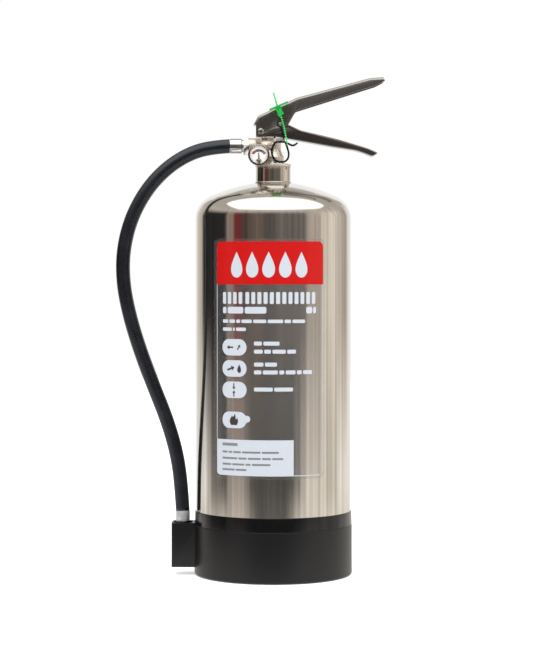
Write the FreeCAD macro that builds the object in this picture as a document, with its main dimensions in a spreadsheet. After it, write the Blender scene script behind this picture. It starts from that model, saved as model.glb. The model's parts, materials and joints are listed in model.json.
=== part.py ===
import FreeCAD, Part

import math
import os
import re

import Sketcher

# A six-litre stored-pressure water fire extinguisher.  Millimetres, +Z up, +X towards the tips of the
# handles, -X towards the hose, -Y the front with the label and the gauge.  The origin is on the floor
# under the cylinder's axis.

# ---------------------------------------------------------------- driving dimensions
DIMENSIONS = {
    # cylinder
    "shell_radius": (80.0, "outside radius of the cylinder"),
    "shell_wall": (1.2, "sheet thickness of the cylinder"),
    "knuckle_radius": (25.0, "rounding between side and dome"),
    "crown_radius": (150.0, "radius of both domes"),
    "shell_foot": (3.0, "lowest point of the bottom dome"),
    "shoulder_height": (365.7, "where the straight side ends at the top"),
    # neck
    "neck_radius": (17.9, "outside radius of the welded neck ring"),
    "neck_top": (419.0, "top face of the neck ring"),
    "neck_bottom": (396.0, "bottom face of the neck ring"),
    "neck_bore": (15.0, "bore of the neck ring, thread left plain"),
    # base
    "skirt_radius": (81.3, "outside radius of the base skirt"),
    "skirt_lip": (51.5, "height of the step round the skirt"),
    "skirt_top": (66.0, "top edge of the skirt"),
    "skirt_rim": (80.6, "outside radius of the top edge"),
    "skirt_inside": (78.5, "inside radius near the floor"),
    "pocket_out": (104.7, "how far the nozzle pocket reaches from the axis"),
    "pocket_width": (26.0, "width of the nozzle pocket"),
    "pocket_wall": (2.4, "wall of the nozzle pocket"),
    "pocket_foot": (8.0, "underside of the nozzle pocket"),
    "pocket_top": (53.6, "mouth of the nozzle pocket"),
    # valve
    "flange_radius": (18.5, "flange that seats on the neck ring"),
    "flange_top": (422.0, "top of the flange"),
    "valve_top": (449.6, "flat top where the carry handle sits"),
    "shank_radius": (14.8, "screwed shank inside the neck ring"),
    "chamber_radius": (5.8, "bore that holds the valve disc"),
    "seat_height": (434.0, "face that the valve disc closes against"),
    "outlet_height": (440.4, "height of the hose axis"),
    "outlet_end": (25.0, "distance of the outlet face from the axis"),
    "guide_bore": (2.55, "bore that guides the stem"),
    "stem_radius": (2.5, "valve stem"),
    "stem_top": (475.4, "domed top of the stem under the lever"),
    "adaptor_top": (412.0, "top face of the dip tube adaptor"),
    # handles
    "sheet": (1.5, "sheet thickness of both handles"),
    "lever_half": (11.5, "half width of the squeeze lever"),
    "carry_half": (9.6, "half width of the carry handle"),
    "pivot_across": (-12.6, "lever pivot, X"),
    "pivot_height": (454.8, "lever pivot, Z"),
    "rivet_radius": (2.2, "shank of the pivot rivet"),
    "pin_across": (7.0, "safety pin, X"),
    "pin_height": (462.1, "safety pin, Z"),
    "pin_radius": (1.75, "safety pin"),
    # gauge
    "gauge_across": (-14.7, "gauge axis, X"),
    "gauge_height": (430.4, "gauge axis, Z"),
    "gauge_back": (-15.0, "back face of the gauge, Y"),
    "gauge_radius": (11.0, "outside radius of the gauge"),
    "needle_drop": (5.7, "needle pivot below the gauge axis"),
    # hose
    "hose_radius": (7.25, "outside radius of the hose"),
    "ferrule_radius": (7.85, "upper ferrule"),
    "ferrule_end": (44.7, "hose end of the upper ferrule, from the axis"),
    "nozzle_across": (-93.4, "axis of the nozzle, X"),
    "nozzle_top": (65.3, "top of the lower ferrule"),
    # label
    "label_top": (344.2, "top edge of the label"),
    "label_bottom": (104.9, "bottom edge of the label"),
    "label_film": (0.15, "thickness of the label film"),
}

document = FreeCAD.newDocument("fire_extinguisher")
sizes = document.addObject("Spreadsheet::Sheet", "Sizes")
for row, (alias, (number, meaning)) in enumerate(DIMENSIONS.items(), start=1):
    sizes.set("A%d" % row, meaning)
    sizes.set("B%d" % row, str(number))
    sizes.setAlias("B%d" % row, alias)
document.recompute()

UP, LEFT, FRONT, BACK, DOWN = "up", "left", "front", "back", "down"
TURN = {
    UP: FreeCAD.Rotation(),
    DOWN: FreeCAD.Rotation(FreeCAD.Vector(1, 0, 0), 180),
    LEFT: FreeCAD.Rotation(FreeCAD.Vector(0, 1, 0), -90),
    FRONT: FreeCAD.Rotation(FreeCAD.Vector(1, 0, 0), 90),
    BACK: FreeCAD.Rotation(FreeCAD.Vector(1, 0, 0), -90),
}

nodes = {}


# ---------------------------------------------------------------- helpers
def formula(text):
    """Write a size so that each dimension in it points at its cell."""
    def cell(word):
        return "Sizes." + word.group() if word.group() in DIMENSIONS else word.group()
    return re.sub(r"[a-z_]\w*", cell, str(text))


def value(text):
    """The size's number."""
    number = sizes.evalExpression(formula(text))
    return float(getattr(number, "Value", number))


def bind(thing, name, text):
    """Bind one property of an object to the sheet."""
    thing.setExpression(name, formula(text))


def place(thing, at, facing=UP):
    """Put a piece at a point of the frame, with its own +Z facing one way."""
    thing.Placement = FreeCAD.Placement(FreeCAD.Vector(*[value(size) for size in at]), TURN[facing])
    for axis, size in zip("xyz", at):
        if value(size) != 0:
            bind(thing, "Placement.Base." + axis, size)


def piece(label, at=("0", "0", "0"), facing=UP):
    """Start a sub-part's body."""
    body = document.addObject("PartDesign::Body", label)
    body.Label = label
    place(body, at, facing)
    nodes[label] = body
    return body


def fix_point(sketch, geometry, end, corner):
    """Hold one end of a sketch element at a corner that the sheet gives."""
    for kind, axis, size in (("DistanceX", -2, corner[0]), ("DistanceY", -1, corner[1])):
        if abs(value(size)) < 1e-9:
            sketch.addConstraint(Sketcher.Constraint("PointOnObject", geometry, end, axis))
        else:
            index = sketch.addConstraint(Sketcher.Constraint(kind, geometry, end, value(size)))
            bind(sketch, "Constraints[%d]" % index, size)


def arc_between(start, end, radius, side):
    """A short arc from start to end, with its centre left or right of the way it goes."""
    chord = end - start
    middle = (start + end) * 0.5
    across = FreeCAD.Vector(-chord.y, chord.x, 0).normalize()
    if side == "right":
        across = across * -1
    reach = math.sqrt(max(radius ** 2 - (chord.Length / 2) ** 2, 0))
    centre = middle + across * reach
    crest = centre - across * radius
    return Part.Arc(start, crest, end)


def outline(body, name, plane, loops, lift="0"):
    """Draw closed loops of corners on one of the body's planes.

    A corner is (across, up), (across, up, "round", radius), or (across, up, "left" or "right",
    radius), where the side to the next corner is an arc with its centre on that hand.
    """
    sketch = body.newObject("Sketcher::SketchObject", name)
    planes = [item for item in body.Origin.OriginFeatures if item.Role == plane]
    sketch.AttachmentSupport = [(planes[0], "")]
    sketch.MapMode = "FlatFace"
    if value(lift) != 0:
        bind(sketch, "AttachmentOffset.Base.z", lift)
    for corners in loops:
        draw_loop(sketch, corners)
    return sketch


def draw_loop(sketch, corners):
    """Add one closed loop, or one circle (across, up, radius), to a sketch."""
    if isinstance(corners, tuple):
        centre = FreeCAD.Vector(value(corners[0]), value(corners[1]), 0)
        circle = sketch.addGeometry(Part.Circle(centre, FreeCAD.Vector(0, 0, 1), value(corners[2])), False)
        fix_point(sketch, circle, 3, corners)
        index = sketch.addConstraint(Sketcher.Constraint("Radius", circle, value(corners[2])))
        bind(sketch, "Constraints[%d]" % index, corners[2])
        return
    points = [FreeCAD.Vector(value(corner[0]), value(corner[1]), 0) for corner in corners]
    count = len(corners)
    leave, arrive, radii = list(points), list(points), {}
    for i, corner in enumerate(corners):
        if len(corner) == 4 and corner[2] == "round":
            before = (points[i - 1] - points[i]).normalize()
            after = (points[(i + 1) % count] - points[i]).normalize()
            half = before.getAngle(after) / 2
            radii[i] = value(corner[3])
            back = radii[i] / math.tan(half)
            arrive[i] = points[i] + before * back
            leave[i] = points[i] + after * back
    sides = []
    for i, corner in enumerate(corners):
        after = (i + 1) % count
        if len(corner) == 4 and corner[2] in ("left", "right"):
            side = arc_between(leave[i], arrive[after], value(corner[3]), corner[2])
            sides.append(sketch.addGeometry(side, False))
            index = sketch.addConstraint(Sketcher.Constraint("Radius", sides[-1], value(corner[3])))
            bind(sketch, "Constraints[%d]" % index, corner[3])
        else:
            sides.append(sketch.addGeometry(Part.LineSegment(leave[i], arrive[after]), False))
    for i, corner in enumerate(corners):
        incoming, outgoing = sides[i - 1], sides[i]
        start, _ = ends_of(sketch, outgoing, leave[i])
        finish, _ = ends_of(sketch, incoming, arrive[i])
        if i not in radii:
            sketch.addConstraint(Sketcher.Constraint("Coincident", incoming, finish, outgoing, start))
            fix_point(sketch, outgoing, start, corner)
            continue
        bend = bisector_arc(points[i], arrive[i], leave[i], radii[i])
        arc = sketch.addGeometry(bend, False)
        first, last = ends_of(sketch, arc, arrive[i])
        sketch.addConstraint(Sketcher.Constraint("Tangent", incoming, finish, arc, first))
        sketch.addConstraint(Sketcher.Constraint("Tangent", arc, last, outgoing, start))
        index = sketch.addConstraint(Sketcher.Constraint("Radius", arc, radii[i]))
        bind(sketch, "Constraints[%d]" % index, corner[3])
        tip = sketch.addGeometry(Part.Point(points[i]), True)
        fix_point(sketch, tip, 1, corner)
        sketch.addConstraint(Sketcher.Constraint("PointOnObject", tip, 1, incoming))
        sketch.addConstraint(Sketcher.Constraint("PointOnObject", tip, 1, outgoing))


def ends_of(sketch, geometry, point):
    """Which end of a sketch element lies at a point, and which is the other."""
    near = sketch.getPoint(geometry, 1)
    return (1, 2) if (near - point).Length < 1e-6 else (2, 1)


def bisector_arc(corner, arrive, leave, radius):
    """The arc that rounds a corner between its two tangent points."""
    inward = ((arrive + leave) * 0.5 - corner).normalize()
    half = (arrive - corner).getAngle(leave - corner) / 2
    centre = corner + inward * (radius / math.sin(half))
    return Part.Arc(arrive, centre - inward * radius, leave)


def turned(label, corners, at=("0", "0", "0"), facing=UP):
    """A piece turned about its own Z from a half section of (radius, height) corners."""
    body = piece(label, at, facing)
    turn(body, label + "_section", corners)
    return body


def turn(body, name, corners, feature="PartDesign::Revolution"):
    """Turn a half section about the body's Z, adding it or, as a groove, taking it away."""
    section = outline(body, name, "XZ_Plane", [corners])
    made = body.newObject(feature, name + "_turn")
    made.Profile = section
    made.ReferenceAxis = (section, ["V_Axis"])
    made.Angle = 360
    return made


def pad(body, name, plane, loops, length, lift="0", middle=False, reverse=False):
    """Extrude loops from one of the body's planes."""
    section = outline(body, name, plane, loops, lift)
    made = body.newObject("PartDesign::Pad", name + "_pad")
    made.Profile = section
    bind(made, "Length", length)
    made.Midplane = middle
    made.Reversed = reverse
    return made


def pocket(body, name, plane, loops, length, lift="0", middle=False, reverse=False):
    """Cut loops out of the body; the volume has to fall."""
    document.recompute()
    before = body.Shape.Volume
    section = outline(body, name, plane, loops, lift)
    made = body.newObject("PartDesign::Pocket", name + "_cut")
    made.Profile = section
    bind(made, "Length", length)
    made.Midplane = middle
    made.Reversed = reverse
    document.recompute()
    if body.Shape.Volume > before - 0.01:
        raise RuntimeError(name + " cuts nothing")
    return made


def fillet(body, name, radius, wanted):
    """Round the edges of the body's last feature that a test picks."""
    document.recompute()
    base = body.Tip
    names = ["Edge%d" % (i + 1) for i, edge in enumerate(base.Shape.Edges) if wanted(edge)]
    made = body.newObject("PartDesign::Fillet", name)
    made.Base = (base, names)
    bind(made, "Radius", radius)
    document.recompute()
    if not body.Shape.isValid():
        raise RuntimeError(name + " fails")
    return made


def rectangle(left, bottom, right, top, corner=None):
    """Corners of a rectangle, rounded when a corner radius is given."""
    tail = ("round", corner) if corner else ()
    return [(left, bottom) + tail, (right, bottom) + tail, (right, top) + tail, (left, top) + tail]


# ---------------------------------------------------------------- cylinder
# Where the knuckle of a dome runs into its crown.
BLEND_RADIUS = "crown_radius * (shell_radius - knuckle_radius) / (crown_radius - knuckle_radius)"
CROWN_DROP = "sqrt((crown_radius - knuckle_radius)^2 - (shell_radius - knuckle_radius)^2)"
BLEND_RISE = "(crown_radius / (crown_radius - knuckle_radius) - 1) * " + CROWN_DROP
SIDE_FOOT = "shell_foot + crown_radius - " + CROWN_DROP
NECK_RISE = "sqrt(crown_radius^2 - neck_radius^2) - " + CROWN_DROP


def cylinder_shell():
    """Drawn and welded sheet cylinder with a dome at each end, open at the neck."""
    wall = "shell_wall"
    inner_blend = BLEND_RADIUS + " * (crown_radius - shell_wall) / crown_radius"
    inner_rise = BLEND_RISE + " - shell_wall * " + CROWN_DROP + " / (crown_radius - knuckle_radius)"
    inner_neck = "sqrt((crown_radius - shell_wall)^2 - neck_radius^2) - " + CROWN_DROP
    turned("cylinder_shell", [
        ("0", "shell_foot", "left", "crown_radius"),
        (BLEND_RADIUS, SIDE_FOOT + " - (" + BLEND_RISE + ")", "left", "knuckle_radius"),
        ("shell_radius", SIDE_FOOT),
        ("shell_radius", "shoulder_height", "left", "knuckle_radius"),
        (BLEND_RADIUS, "shoulder_height + " + BLEND_RISE, "left", "crown_radius"),
        ("neck_radius", "shoulder_height + " + NECK_RISE),
        ("neck_radius", "shoulder_height + " + inner_neck, "right", "crown_radius - " + wall),
        (inner_blend, "shoulder_height + " + inner_rise, "right", "knuckle_radius - " + wall),
        ("shell_radius - " + wall, "shoulder_height"),
        ("shell_radius - " + wall, SIDE_FOOT, "right", "knuckle_radius - " + wall),
        (inner_blend, SIDE_FOOT + " - (" + inner_rise + ")", "right", "crown_radius - " + wall),
        ("0", "shell_foot + " + wall),
    ])


def neck_ring():
    """Bush welded into the top dome, which the valve screws into."""
    weld = "shoulder_height + " + NECK_RISE
    turned("neck_ring", [
        ("neck_bore", "neck_bottom"), ("neck_radius", "neck_bottom"),
        ("neck_radius", "neck_top - 0.5"), ("neck_radius - 0.5", "neck_top"),
        ("neck_bore + 1.8", "neck_top"), ("neck_bore", "neck_top - 1.8"),
    ])
    turned("neck_weld", [
        ("neck_radius", weld), ("neck_radius + 1.1", "shoulder_height + sqrt(crown_radius^2 "
         "- (neck_radius + 1.1)^2) - " + CROWN_DROP), ("neck_radius", weld + " + 1.0"),
    ])


def label():
    """Printed film wrapped round the front of the cylinder."""
    body = piece("label")
    pad(body, "label_ring", "XY_Plane", [("0", "0", "shell_radius + label_film"),
                                        ("0", "0", "shell_radius")], "label_top - label_bottom",
        lift="label_bottom")
    far = "shell_radius + 20"
    pocket(body, "label_open", "XY_Plane", [[
        ("0", "0"), (far + " * sin(39.6) ", "-(" + far + ") * cos(39.6)"), (far, far),
        ("-(" + far + ")", far), ("-(" + far + ") * sin(48.0)", "-(" + far + ") * cos(48.0)"),
    ]], "label_top", lift="label_bottom", reverse=True)


# ---------------------------------------------------------------- base
def base_skirt():
    """Moulded foot cup with a floor, a stepped wall and the pocket that holds the nozzle."""
    body = piece("base_skirt")
    turn(body, "skirt_outside", [
        ("0", "0"), ("skirt_radius - 1.5", "0"), ("skirt_radius", "1.5"), ("skirt_radius", "skirt_lip"),
        ("skirt_radius - 0.35", "skirt_lip + 0.35"), ("skirt_rim", "skirt_top"), ("0", "skirt_top"),
    ])
    half = "pocket_width / 2"
    pad(body, "pocket_block", "XY_Plane", [rectangle("-pocket_out", "-" + half, "-shell_radius + 6", half)],
        "pocket_top - pocket_foot", lift="pocket_foot")
    fillet(body, "pocket_corners", "3", lambda edge: edge.BoundBox.ZLength > 40
           and edge.CenterOfMass.x < -100 and edge.BoundBox.XLength < 0.01)
    turn(body, "skirt_inside_space", [
        ("0", "shell_foot"), ("skirt_inside", "shell_foot"), ("skirt_inside", "28"),
        ("shell_radius", "32"), ("shell_radius", "skirt_top + 1"), ("0", "skirt_top + 1"),
    ], "PartDesign::Groove")
    wall = "pocket_wall"
    pocket(body, "pocket_space", "XY_Plane", [rectangle(
        "-pocket_out + " + wall, "-" + half + " + " + wall, "-skirt_radius - " + wall + " + 0.4",
        half + " - " + wall, "2")], "pocket_top - pocket_foot - 3", lift="pocket_top")


# ---------------------------------------------------------------- valve
def valve_body():
    """Forged and machined body: screwed shank, flange, column, outlet arm and gauge boss."""
    body = piece("valve_body")
    turn(body, "column", [
        ("0", "neck_bottom + 6"), ("shank_radius", "neck_bottom + 6"), ("shank_radius", "neck_top"),
        ("flange_radius", "neck_top"), ("flange_radius", "flange_top", "round", "1.2"),
        ("12", "flange_top"), ("11.2", "424.2"), ("11.2", "429", "round", "3"),
        ("8", "436.5", "round", "3"), ("8", "valve_top - 1.6"), ("0", "valve_top - 1.6"),
    ])
    pad(body, "top_plate", "XY_Plane", [rectangle("-15", "-carry_half", "0.6", "carry_half", "1.5")], "1.6",
        lift="valve_top - 1.6")
    pad(body, "outlet_arm", "YZ_Plane", [("0", "outlet_height", "8.4")], "outlet_end", lift="0", reverse=True)
    pad(body, "gauge_boss", "XZ_Plane", [("gauge_across", "gauge_height", "5.6")], "-gauge_back - 1.2")
    pad(body, "gauge_web", "XY_Plane", [rectangle("-19", "-7", "-2", "7", "2")], "12", lift="426")
    pad(body, "pivot_lug", "XZ_Plane", [rectangle("-17", "valve_top - 1", "-6.5", "pivot_height + 4.4", "3")],
        "2 * (carry_half - sheet)", middle=True)
    pad(body, "port_boss", "XZ_Plane", [("gauge_across - 0.3", "446", "3.4")], "9.7")
    pad(body, "screw_boss", "XZ_Plane", [("-3", "440", "3.4")], "9.6")
    pad(body, "lug", "XZ_Plane", [rectangle("2", "445", "10", "valve_top - 1.6", "1.2")], "12", middle=True)
    turn(body, "main_bore", [
        ("0", "neck_bottom + 5"), ("7.4", "neck_bottom + 5"), ("7.4", "adaptor_top"),
        ("chamber_radius", "adaptor_top"), ("chamber_radius", "seat_height"), ("3.6", "seat_height"),
        ("3.6", "outlet_height - 3.2"),
        ("4.6", "outlet_height - 3.2"), ("4.6", "443.4"), ("guide_bore", "443.4"), ("guide_bore", "445"),
        ("4.1", "445"), ("4.1", "447"), ("guide_bore", "447"), ("guide_bore", "valve_top + 1"),
        ("0", "valve_top + 1"),
    ], "PartDesign::Groove")
    pocket(body, "outlet_bore", "YZ_Plane", [("0", "outlet_height", "4")], "outlet_end", lift="0")
    pocket(body, "outlet_socket", "YZ_Plane", [("0", "outlet_height", "6")], "7", lift="-outlet_end", reverse=True)
    pocket(body, "gauge_port", "XZ_Plane", [("gauge_across", "gauge_height", "3")], "7", lift="-gauge_back - 1.2")
    pocket(body, "port_hole", "XZ_Plane", [("gauge_across - 0.3", "446", "1.6")], "5", lift="9.7")
    pocket(body, "screw_hole", "XZ_Plane", [("-3", "440", "1.6")], "5", lift="9.6")
    pocket(body, "pivot_hole", "XZ_Plane", [("pivot_across", "pivot_height", "rivet_radius")],
           "2 * lever_half", middle=True)
    pocket(body, "cross_pin_hole", "XZ_Plane", [("-8.4", "453", "1.2")], "2 * lever_half", middle=True)


def valve_fittings():
    """Plug and screw on the front of the valve, and the seals."""
    turned("port_plug", [("0", "-4"), ("1.6", "-4"), ("1.6", "0"), ("3.1", "0"), ("3.1", "1.2"), ("2.6", "1.7"),
                         ("0", "1.7")], ("gauge_across - 0.3", "-9.7", "446"), FRONT)
    turned("body_screw", [("0", "-4"), ("1.6", "-4"), ("1.6", "0"), ("2.3", "0"), ("2.3", "1.1"), ("1.8", "1.6"),
                          ("1.1", "1.6"), ("1.1", "0.6"), ("0", "0.6")], ("-3", "-9.6", "440"), FRONT)
    ring("neck_seal", "15.35", "0.48", ("0", "0", "neck_top - 0.5"))
    turned("stem_seal", [("stem_radius + 0.05", "0"), ("4.1", "0"), ("4.1", "2"), ("stem_radius + 0.05", "2")],
           ("0", "0", "445"))


def ring(label, radius, thickness, at, facing=UP):
    """A seal ring of round section."""
    made = document.addObject("Part::Torus", label)
    made.Label = label
    bind(made, "Radius1", radius)
    bind(made, "Radius2", thickness)
    place(made, at, facing)
    nodes[label] = made
    return made


def valve_inside():
    """Stem, disc and spring, the adaptor that closes the chamber, the dip tube and its strainer."""
    turned("valve_stem", [
        ("0", "seat_height - 8"), ("2.2", "seat_height - 8"), ("2.2", "seat_height - 5"),
        ("5.1", "seat_height - 5"), ("5.1", "seat_height - 2.8"), ("1.8", "seat_height - 2.8"),
        ("1.8", "outlet_height + 1"), ("stem_radius", "outlet_height + 1.7"), ("stem_radius", "valve_top"),
        ("2", "valve_top + 0.5"), ("2", "stem_top - 2", "left", "2"), ("0", "stem_top"),
    ])
    turned("valve_disc", [("1.8", "0"), ("5.1", "0"), ("5.1", "2.4"), ("1.8", "2.4")],
           ("0", "0", "seat_height - 2.8"))
    turned("dip_tube_adaptor", [
        ("3", "adaptor_top - 24"), ("4.8", "adaptor_top - 24"), ("4.8", "adaptor_top - 12"),
        ("7.4", "adaptor_top - 12"), ("7.4", "adaptor_top"), ("3", "adaptor_top"),
    ])
    turned("dip_tube", [("4.8", "14"), ("6", "14"), ("6", "adaptor_top - 12"), ("4.8", "adaptor_top - 12")])
    strainer = turned("dip_tube_strainer", [
        ("0", "0"), ("7.4", "0"), ("7.4", "14"), ("6", "14"), ("6", "6"), ("4.6", "6"), ("4.6", "1.4"),
        ("0", "1.4")], ("0", "0", "8"))
    pocket(strainer, "strainer_slot_x", "XZ_Plane", [rectangle("-1", "2", "1", "5.4")], "20", middle=True)
    pocket(strainer, "strainer_slot_y", "YZ_Plane", [rectangle("-1", "2", "1", "5.4")], "20", middle=True)
    coil_spring()


def coil_spring():
    """Compression spring that holds the valve shut: each half turn of the wire is a tilted half circle."""
    wire, radius, turns = 0.5, 4.2, 5
    foot = value("adaptor_top") + wire
    rise = value("seat_height - 5") - 0.3 - wire - foot

    def along(quarter):
        angle = math.pi / 2 * quarter
        height = foot + rise * quarter / (4 * turns)
        return FreeCAD.Vector(radius * math.cos(angle), radius * math.sin(angle), height)

    halves = [Part.Arc(along(q), along(q + 1), along(q + 2)).toShape() for q in range(0, 4 * turns, 2)]
    start = halves[0].tangentAt(halves[0].FirstParameter)
    section = Part.Wire([Part.makeCircle(wire, along(0), start)])
    spring = document.addObject("Part::Feature", "stem_spring")
    spring.Label = "stem_spring"
    spring.Shape = Part.Wire(halves).makePipeShell([section], True, False)
    nodes["stem_spring"] = spring


# ---------------------------------------------------------------- gauge
GAUGE_AT = ("gauge_across", "gauge_back", "gauge_height")


def gauge():
    """Pressure gauge: cup with a screwed stem, bezel, dial, window and needle."""
    turned("gauge_case", [
        ("0", "-5.5"), ("3", "-5.5"), ("3", "-1.2"), ("3.5", "-1.2"),
        ("3.5", "-0.1"), ("4.7", "-0.1"), ("4.7", "-1.2"), ("5.2", "-1.2"), ("5.2", "0"), ("gauge_radius - 1.4", "0"),
        ("gauge_radius - 0.4", "1.2"), ("gauge_radius - 0.4", "6.6"), ("gauge_radius - 1", "6.6"),
        ("gauge_radius - 1", "4"), ("gauge_radius - 1.7", "4"), ("gauge_radius - 1.7", "1.2"), ("0", "1.2"),
    ], GAUGE_AT, FRONT)
    turned("gauge_bezel", [
        ("gauge_radius - 1", "6.6"), ("gauge_radius - 0.4", "6.6"), ("gauge_radius - 0.4", "5"),
        ("gauge_radius", "5"), ("gauge_radius", "7.9", "round", "0.7"), ("gauge_radius - 1.9", "8.6"),
        ("gauge_radius - 1.9", "7.6"), ("gauge_radius - 1", "7.6"),
    ], GAUGE_AT, FRONT)
    turned("gauge_window", [("0", "6.6"), ("gauge_radius - 1", "6.6"), ("gauge_radius - 1", "7.6"), ("0", "7.6")],
           GAUGE_AT, FRONT)
    dial = turned("gauge_dial", [("0", "4"), ("gauge_radius - 1", "4"), ("gauge_radius - 1", "4.5"), ("0", "4.5")],
                  GAUGE_AT, FRONT)
    pocket(dial, "spindle_hole", "XY_Plane", [("0", "-needle_drop", "0.55")], "3", lift="6")
    needle = piece("gauge_needle", ("gauge_across", "gauge_back", "gauge_height - needle_drop"), FRONT)
    turn(needle, "hub", [("0", "3.2"), ("0.5", "3.2"), ("0.5", "4.85"), ("1.5", "4.85"), ("1.5", "5.5"),
                         ("1.1", "5.9"), ("0", "5.9")])
    pad(needle, "pointer", "XY_Plane", [[("-0.65", "-2.6"), ("0.65", "-2.6"), ("0.5", "1"), ("0.16", "8.2"),
                                        ("-0.16", "8.2"), ("-0.5", "1")]], "0.35", lift="4.95")
    ring("gauge_seal", "4.1", "0.5", ("gauge_across", "gauge_back + 0.65", "gauge_height"), FRONT)


# ---------------------------------------------------------------- handles
# Side view of the lever: deep cheeks round the pivot, then a shallow channel up to the tip.
LEVER_SIDE = [
    ("-17.7", "450.3"), ("-10", "449.9"), ("12.4", "457.4", "round", "8"), ("22.6", "475.8", "round", "5"),
    ("68.8", "490.3"), ("104.5", "501.6"), ("114", "506.4"), ("112.6", "510.2"),
    ("99", "509.3", "round", "30"), ("24", "489.2", "round", "30"), ("-15.6", "470.6", "round", "4.5"),
    ("-20.2", "461.6"), ("-17.7", "461.6"),
]
# The same outline moved in by the sheet: it leaves the web and the turned-down front end.
LEVER_HOLLOW = [
    ("-17.7", "440"), ("-17.7", "464.6"), ("-14.5", "469.4", "round", "3"), ("24.4", "487.7", "round", "30"),
    ("99.2", "507.7", "round", "30"), ("110.4", "508.7", "round", "1.5"), ("112", "506.2"), ("120", "440"),
]
CARRY_SIDE = [
    ("-17.2", "valve_top"), ("3.4", "valve_top", "round", "30"), ("60", "439.4", "round", "200"),
    ("86", "435.4", "round", "60"), ("101.6", "429.4", "round", "4"), ("107.4", "433", "round", "1"),
    ("98", "437.4", "round", "60"), ("66", "447.1", "round", "200"), ("28", "456", "round", "30"),
    ("13", "463.2", "round", "6"), ("8", "467.6", "round", "3"), ("2", "467.6", "round", "6"),
    ("-9", "459.4", "round", "6"), ("-17.2", "459.4", "round", "3"),
]
CARRY_HOLLOW = [
    ("-18", "480"), ("-18", "valve_top + sheet"), ("3.6", "valve_top + sheet", "round", "30"),
    ("60.3", "440.9", "round", "200"), ("86.4", "436.9", "round", "60"), ("101.3", "431.1", "round", "3"),
    ("104.4", "433"), ("112", "440"), ("112", "480"),
]


def squeeze_lever():
    """Pressed channel, open below, that pushes the stem down when it is squeezed."""
    body = piece("squeeze_lever")
    pad(body, "lever_side", "XZ_Plane", [LEVER_SIDE], "2 * lever_half", middle=True)
    fillet(body, "lever_shoulders", "2.6", top_shoulder)
    pocket(body, "lever_hollow", "XZ_Plane", [LEVER_HOLLOW], "2 * (lever_half - sheet)", middle=True)
    pocket(body, "lever_pivot_holes", "XZ_Plane", [("pivot_across", "pivot_height", "rivet_radius + 0.05")],
           "3 * lever_half", middle=True)
    pocket(body, "pin_slots", "XZ_Plane", [pin_slot()], "3 * lever_half", middle=True)


def top_shoulder(edge):
    """True for the outer edges along the top of the lever's side outline."""
    middle = edge.CenterOfMass
    if abs(abs(middle.y) - value("lever_half")) > 0.01 or edge.BoundBox.YLength > 0.01:
        return False
    return middle.x < 100 and middle.z > 471.2 + 0.45 * (min(middle.x, 24) + 15.6) + 0.24 * max(middle.x - 24, 0)


def pin_slot():
    """Slot round the safety pin, long enough for the lever's whole stroke about its pivot."""
    play, rounding = "(pin_radius + 0.9)", "pin_radius + 0.8"
    foot, head = "pin_height - " + play, "pin_height + 3.4 + " + play
    return [
        ("pin_across - " + play, foot, "round", rounding), ("pin_across + " + play, foot, "round", rounding),
        ("pin_across - 1.2 + " + play, head, "round", rounding),
        ("pin_across - 1.2 - " + play, head, "round", rounding),
    ]


def carry_handle():
    """Pressed channel, open above, fixed to the valve and used to carry the extinguisher."""
    body = piece("carry_handle")
    pad(body, "carry_side", "XZ_Plane", [CARRY_SIDE], "2 * carry_half", middle=True)
    fillet(body, "carry_shoulders", "1.2", bottom_shoulder)
    pocket(body, "carry_hollow", "XZ_Plane", [CARRY_HOLLOW], "2 * (carry_half - sheet)", middle=True)
    pocket(body, "lug_notch", "XY_Plane", [rectangle("-20", "-carry_half + sheet", "-6.2", "carry_half - sheet")],
           "6", lift="valve_top + 4")
    pocket(body, "stem_hole", "XY_Plane", [("0", "0", "stem_radius + 0.4")], "6", lift="valve_top + 4")
    pocket(body, "carry_pivot_holes", "XZ_Plane", [("pivot_across", "pivot_height", "rivet_radius")],
           "3 * lever_half", middle=True)
    pocket(body, "carry_pin_holes", "XZ_Plane", [("pin_across", "pin_height", "pin_radius + 0.05")],
           "3 * lever_half", middle=True)
    pocket(body, "carry_cross_pin", "XZ_Plane", [("-8.4", "453", "1.2")], "3 * lever_half", middle=True)


def bottom_shoulder(edge):
    """True for the outer edges along the underside of the carry handle beyond the valve."""
    middle = edge.CenterOfMass
    if abs(abs(middle.y) - value("carry_half")) > 0.01 or edge.BoundBox.YLength > 0.01:
        return False
    return 3 < middle.x < 100 and middle.z < 450.2 - 0.16 * middle.x - 0.0005 * max(middle.x - 60, 0) ** 2 + 1.2


def handle_pins():
    """Lever rivet with its two heads, and the plain pin that locks the carry handle to the valve."""
    head, tip = "lever_half + 0.3", "lever_half + 1.6"
    turned("pivot_rivet", [
        ("0", "-(" + tip + ")"), ("1.8", "-(" + tip + ")"), ("3.3", "-(" + head + " + 0.3)"),
        ("3.3", "-(" + head + ")"), ("rivet_radius", "-(" + head + ")"), ("rivet_radius", head), ("3.3", head),
        ("3.3", head + " + 0.3"), ("1.8", tip), ("0", tip),
    ], ("pivot_across", "0", "pivot_height"), FRONT)
    cross_pin = document.addObject("Part::Cylinder", "handle_cross_pin")
    cross_pin.Label = "handle_cross_pin"
    bind(cross_pin, "Radius", "1.2")
    bind(cross_pin, "Height", "2 * carry_half")
    place(cross_pin, ("-8.4", "carry_half", "453"), FRONT)
    nodes["handle_cross_pin"] = cross_pin


# ---------------------------------------------------------------- safety pin and seal
FRONT_GAP = "(lever_half + 0.8)"


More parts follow.
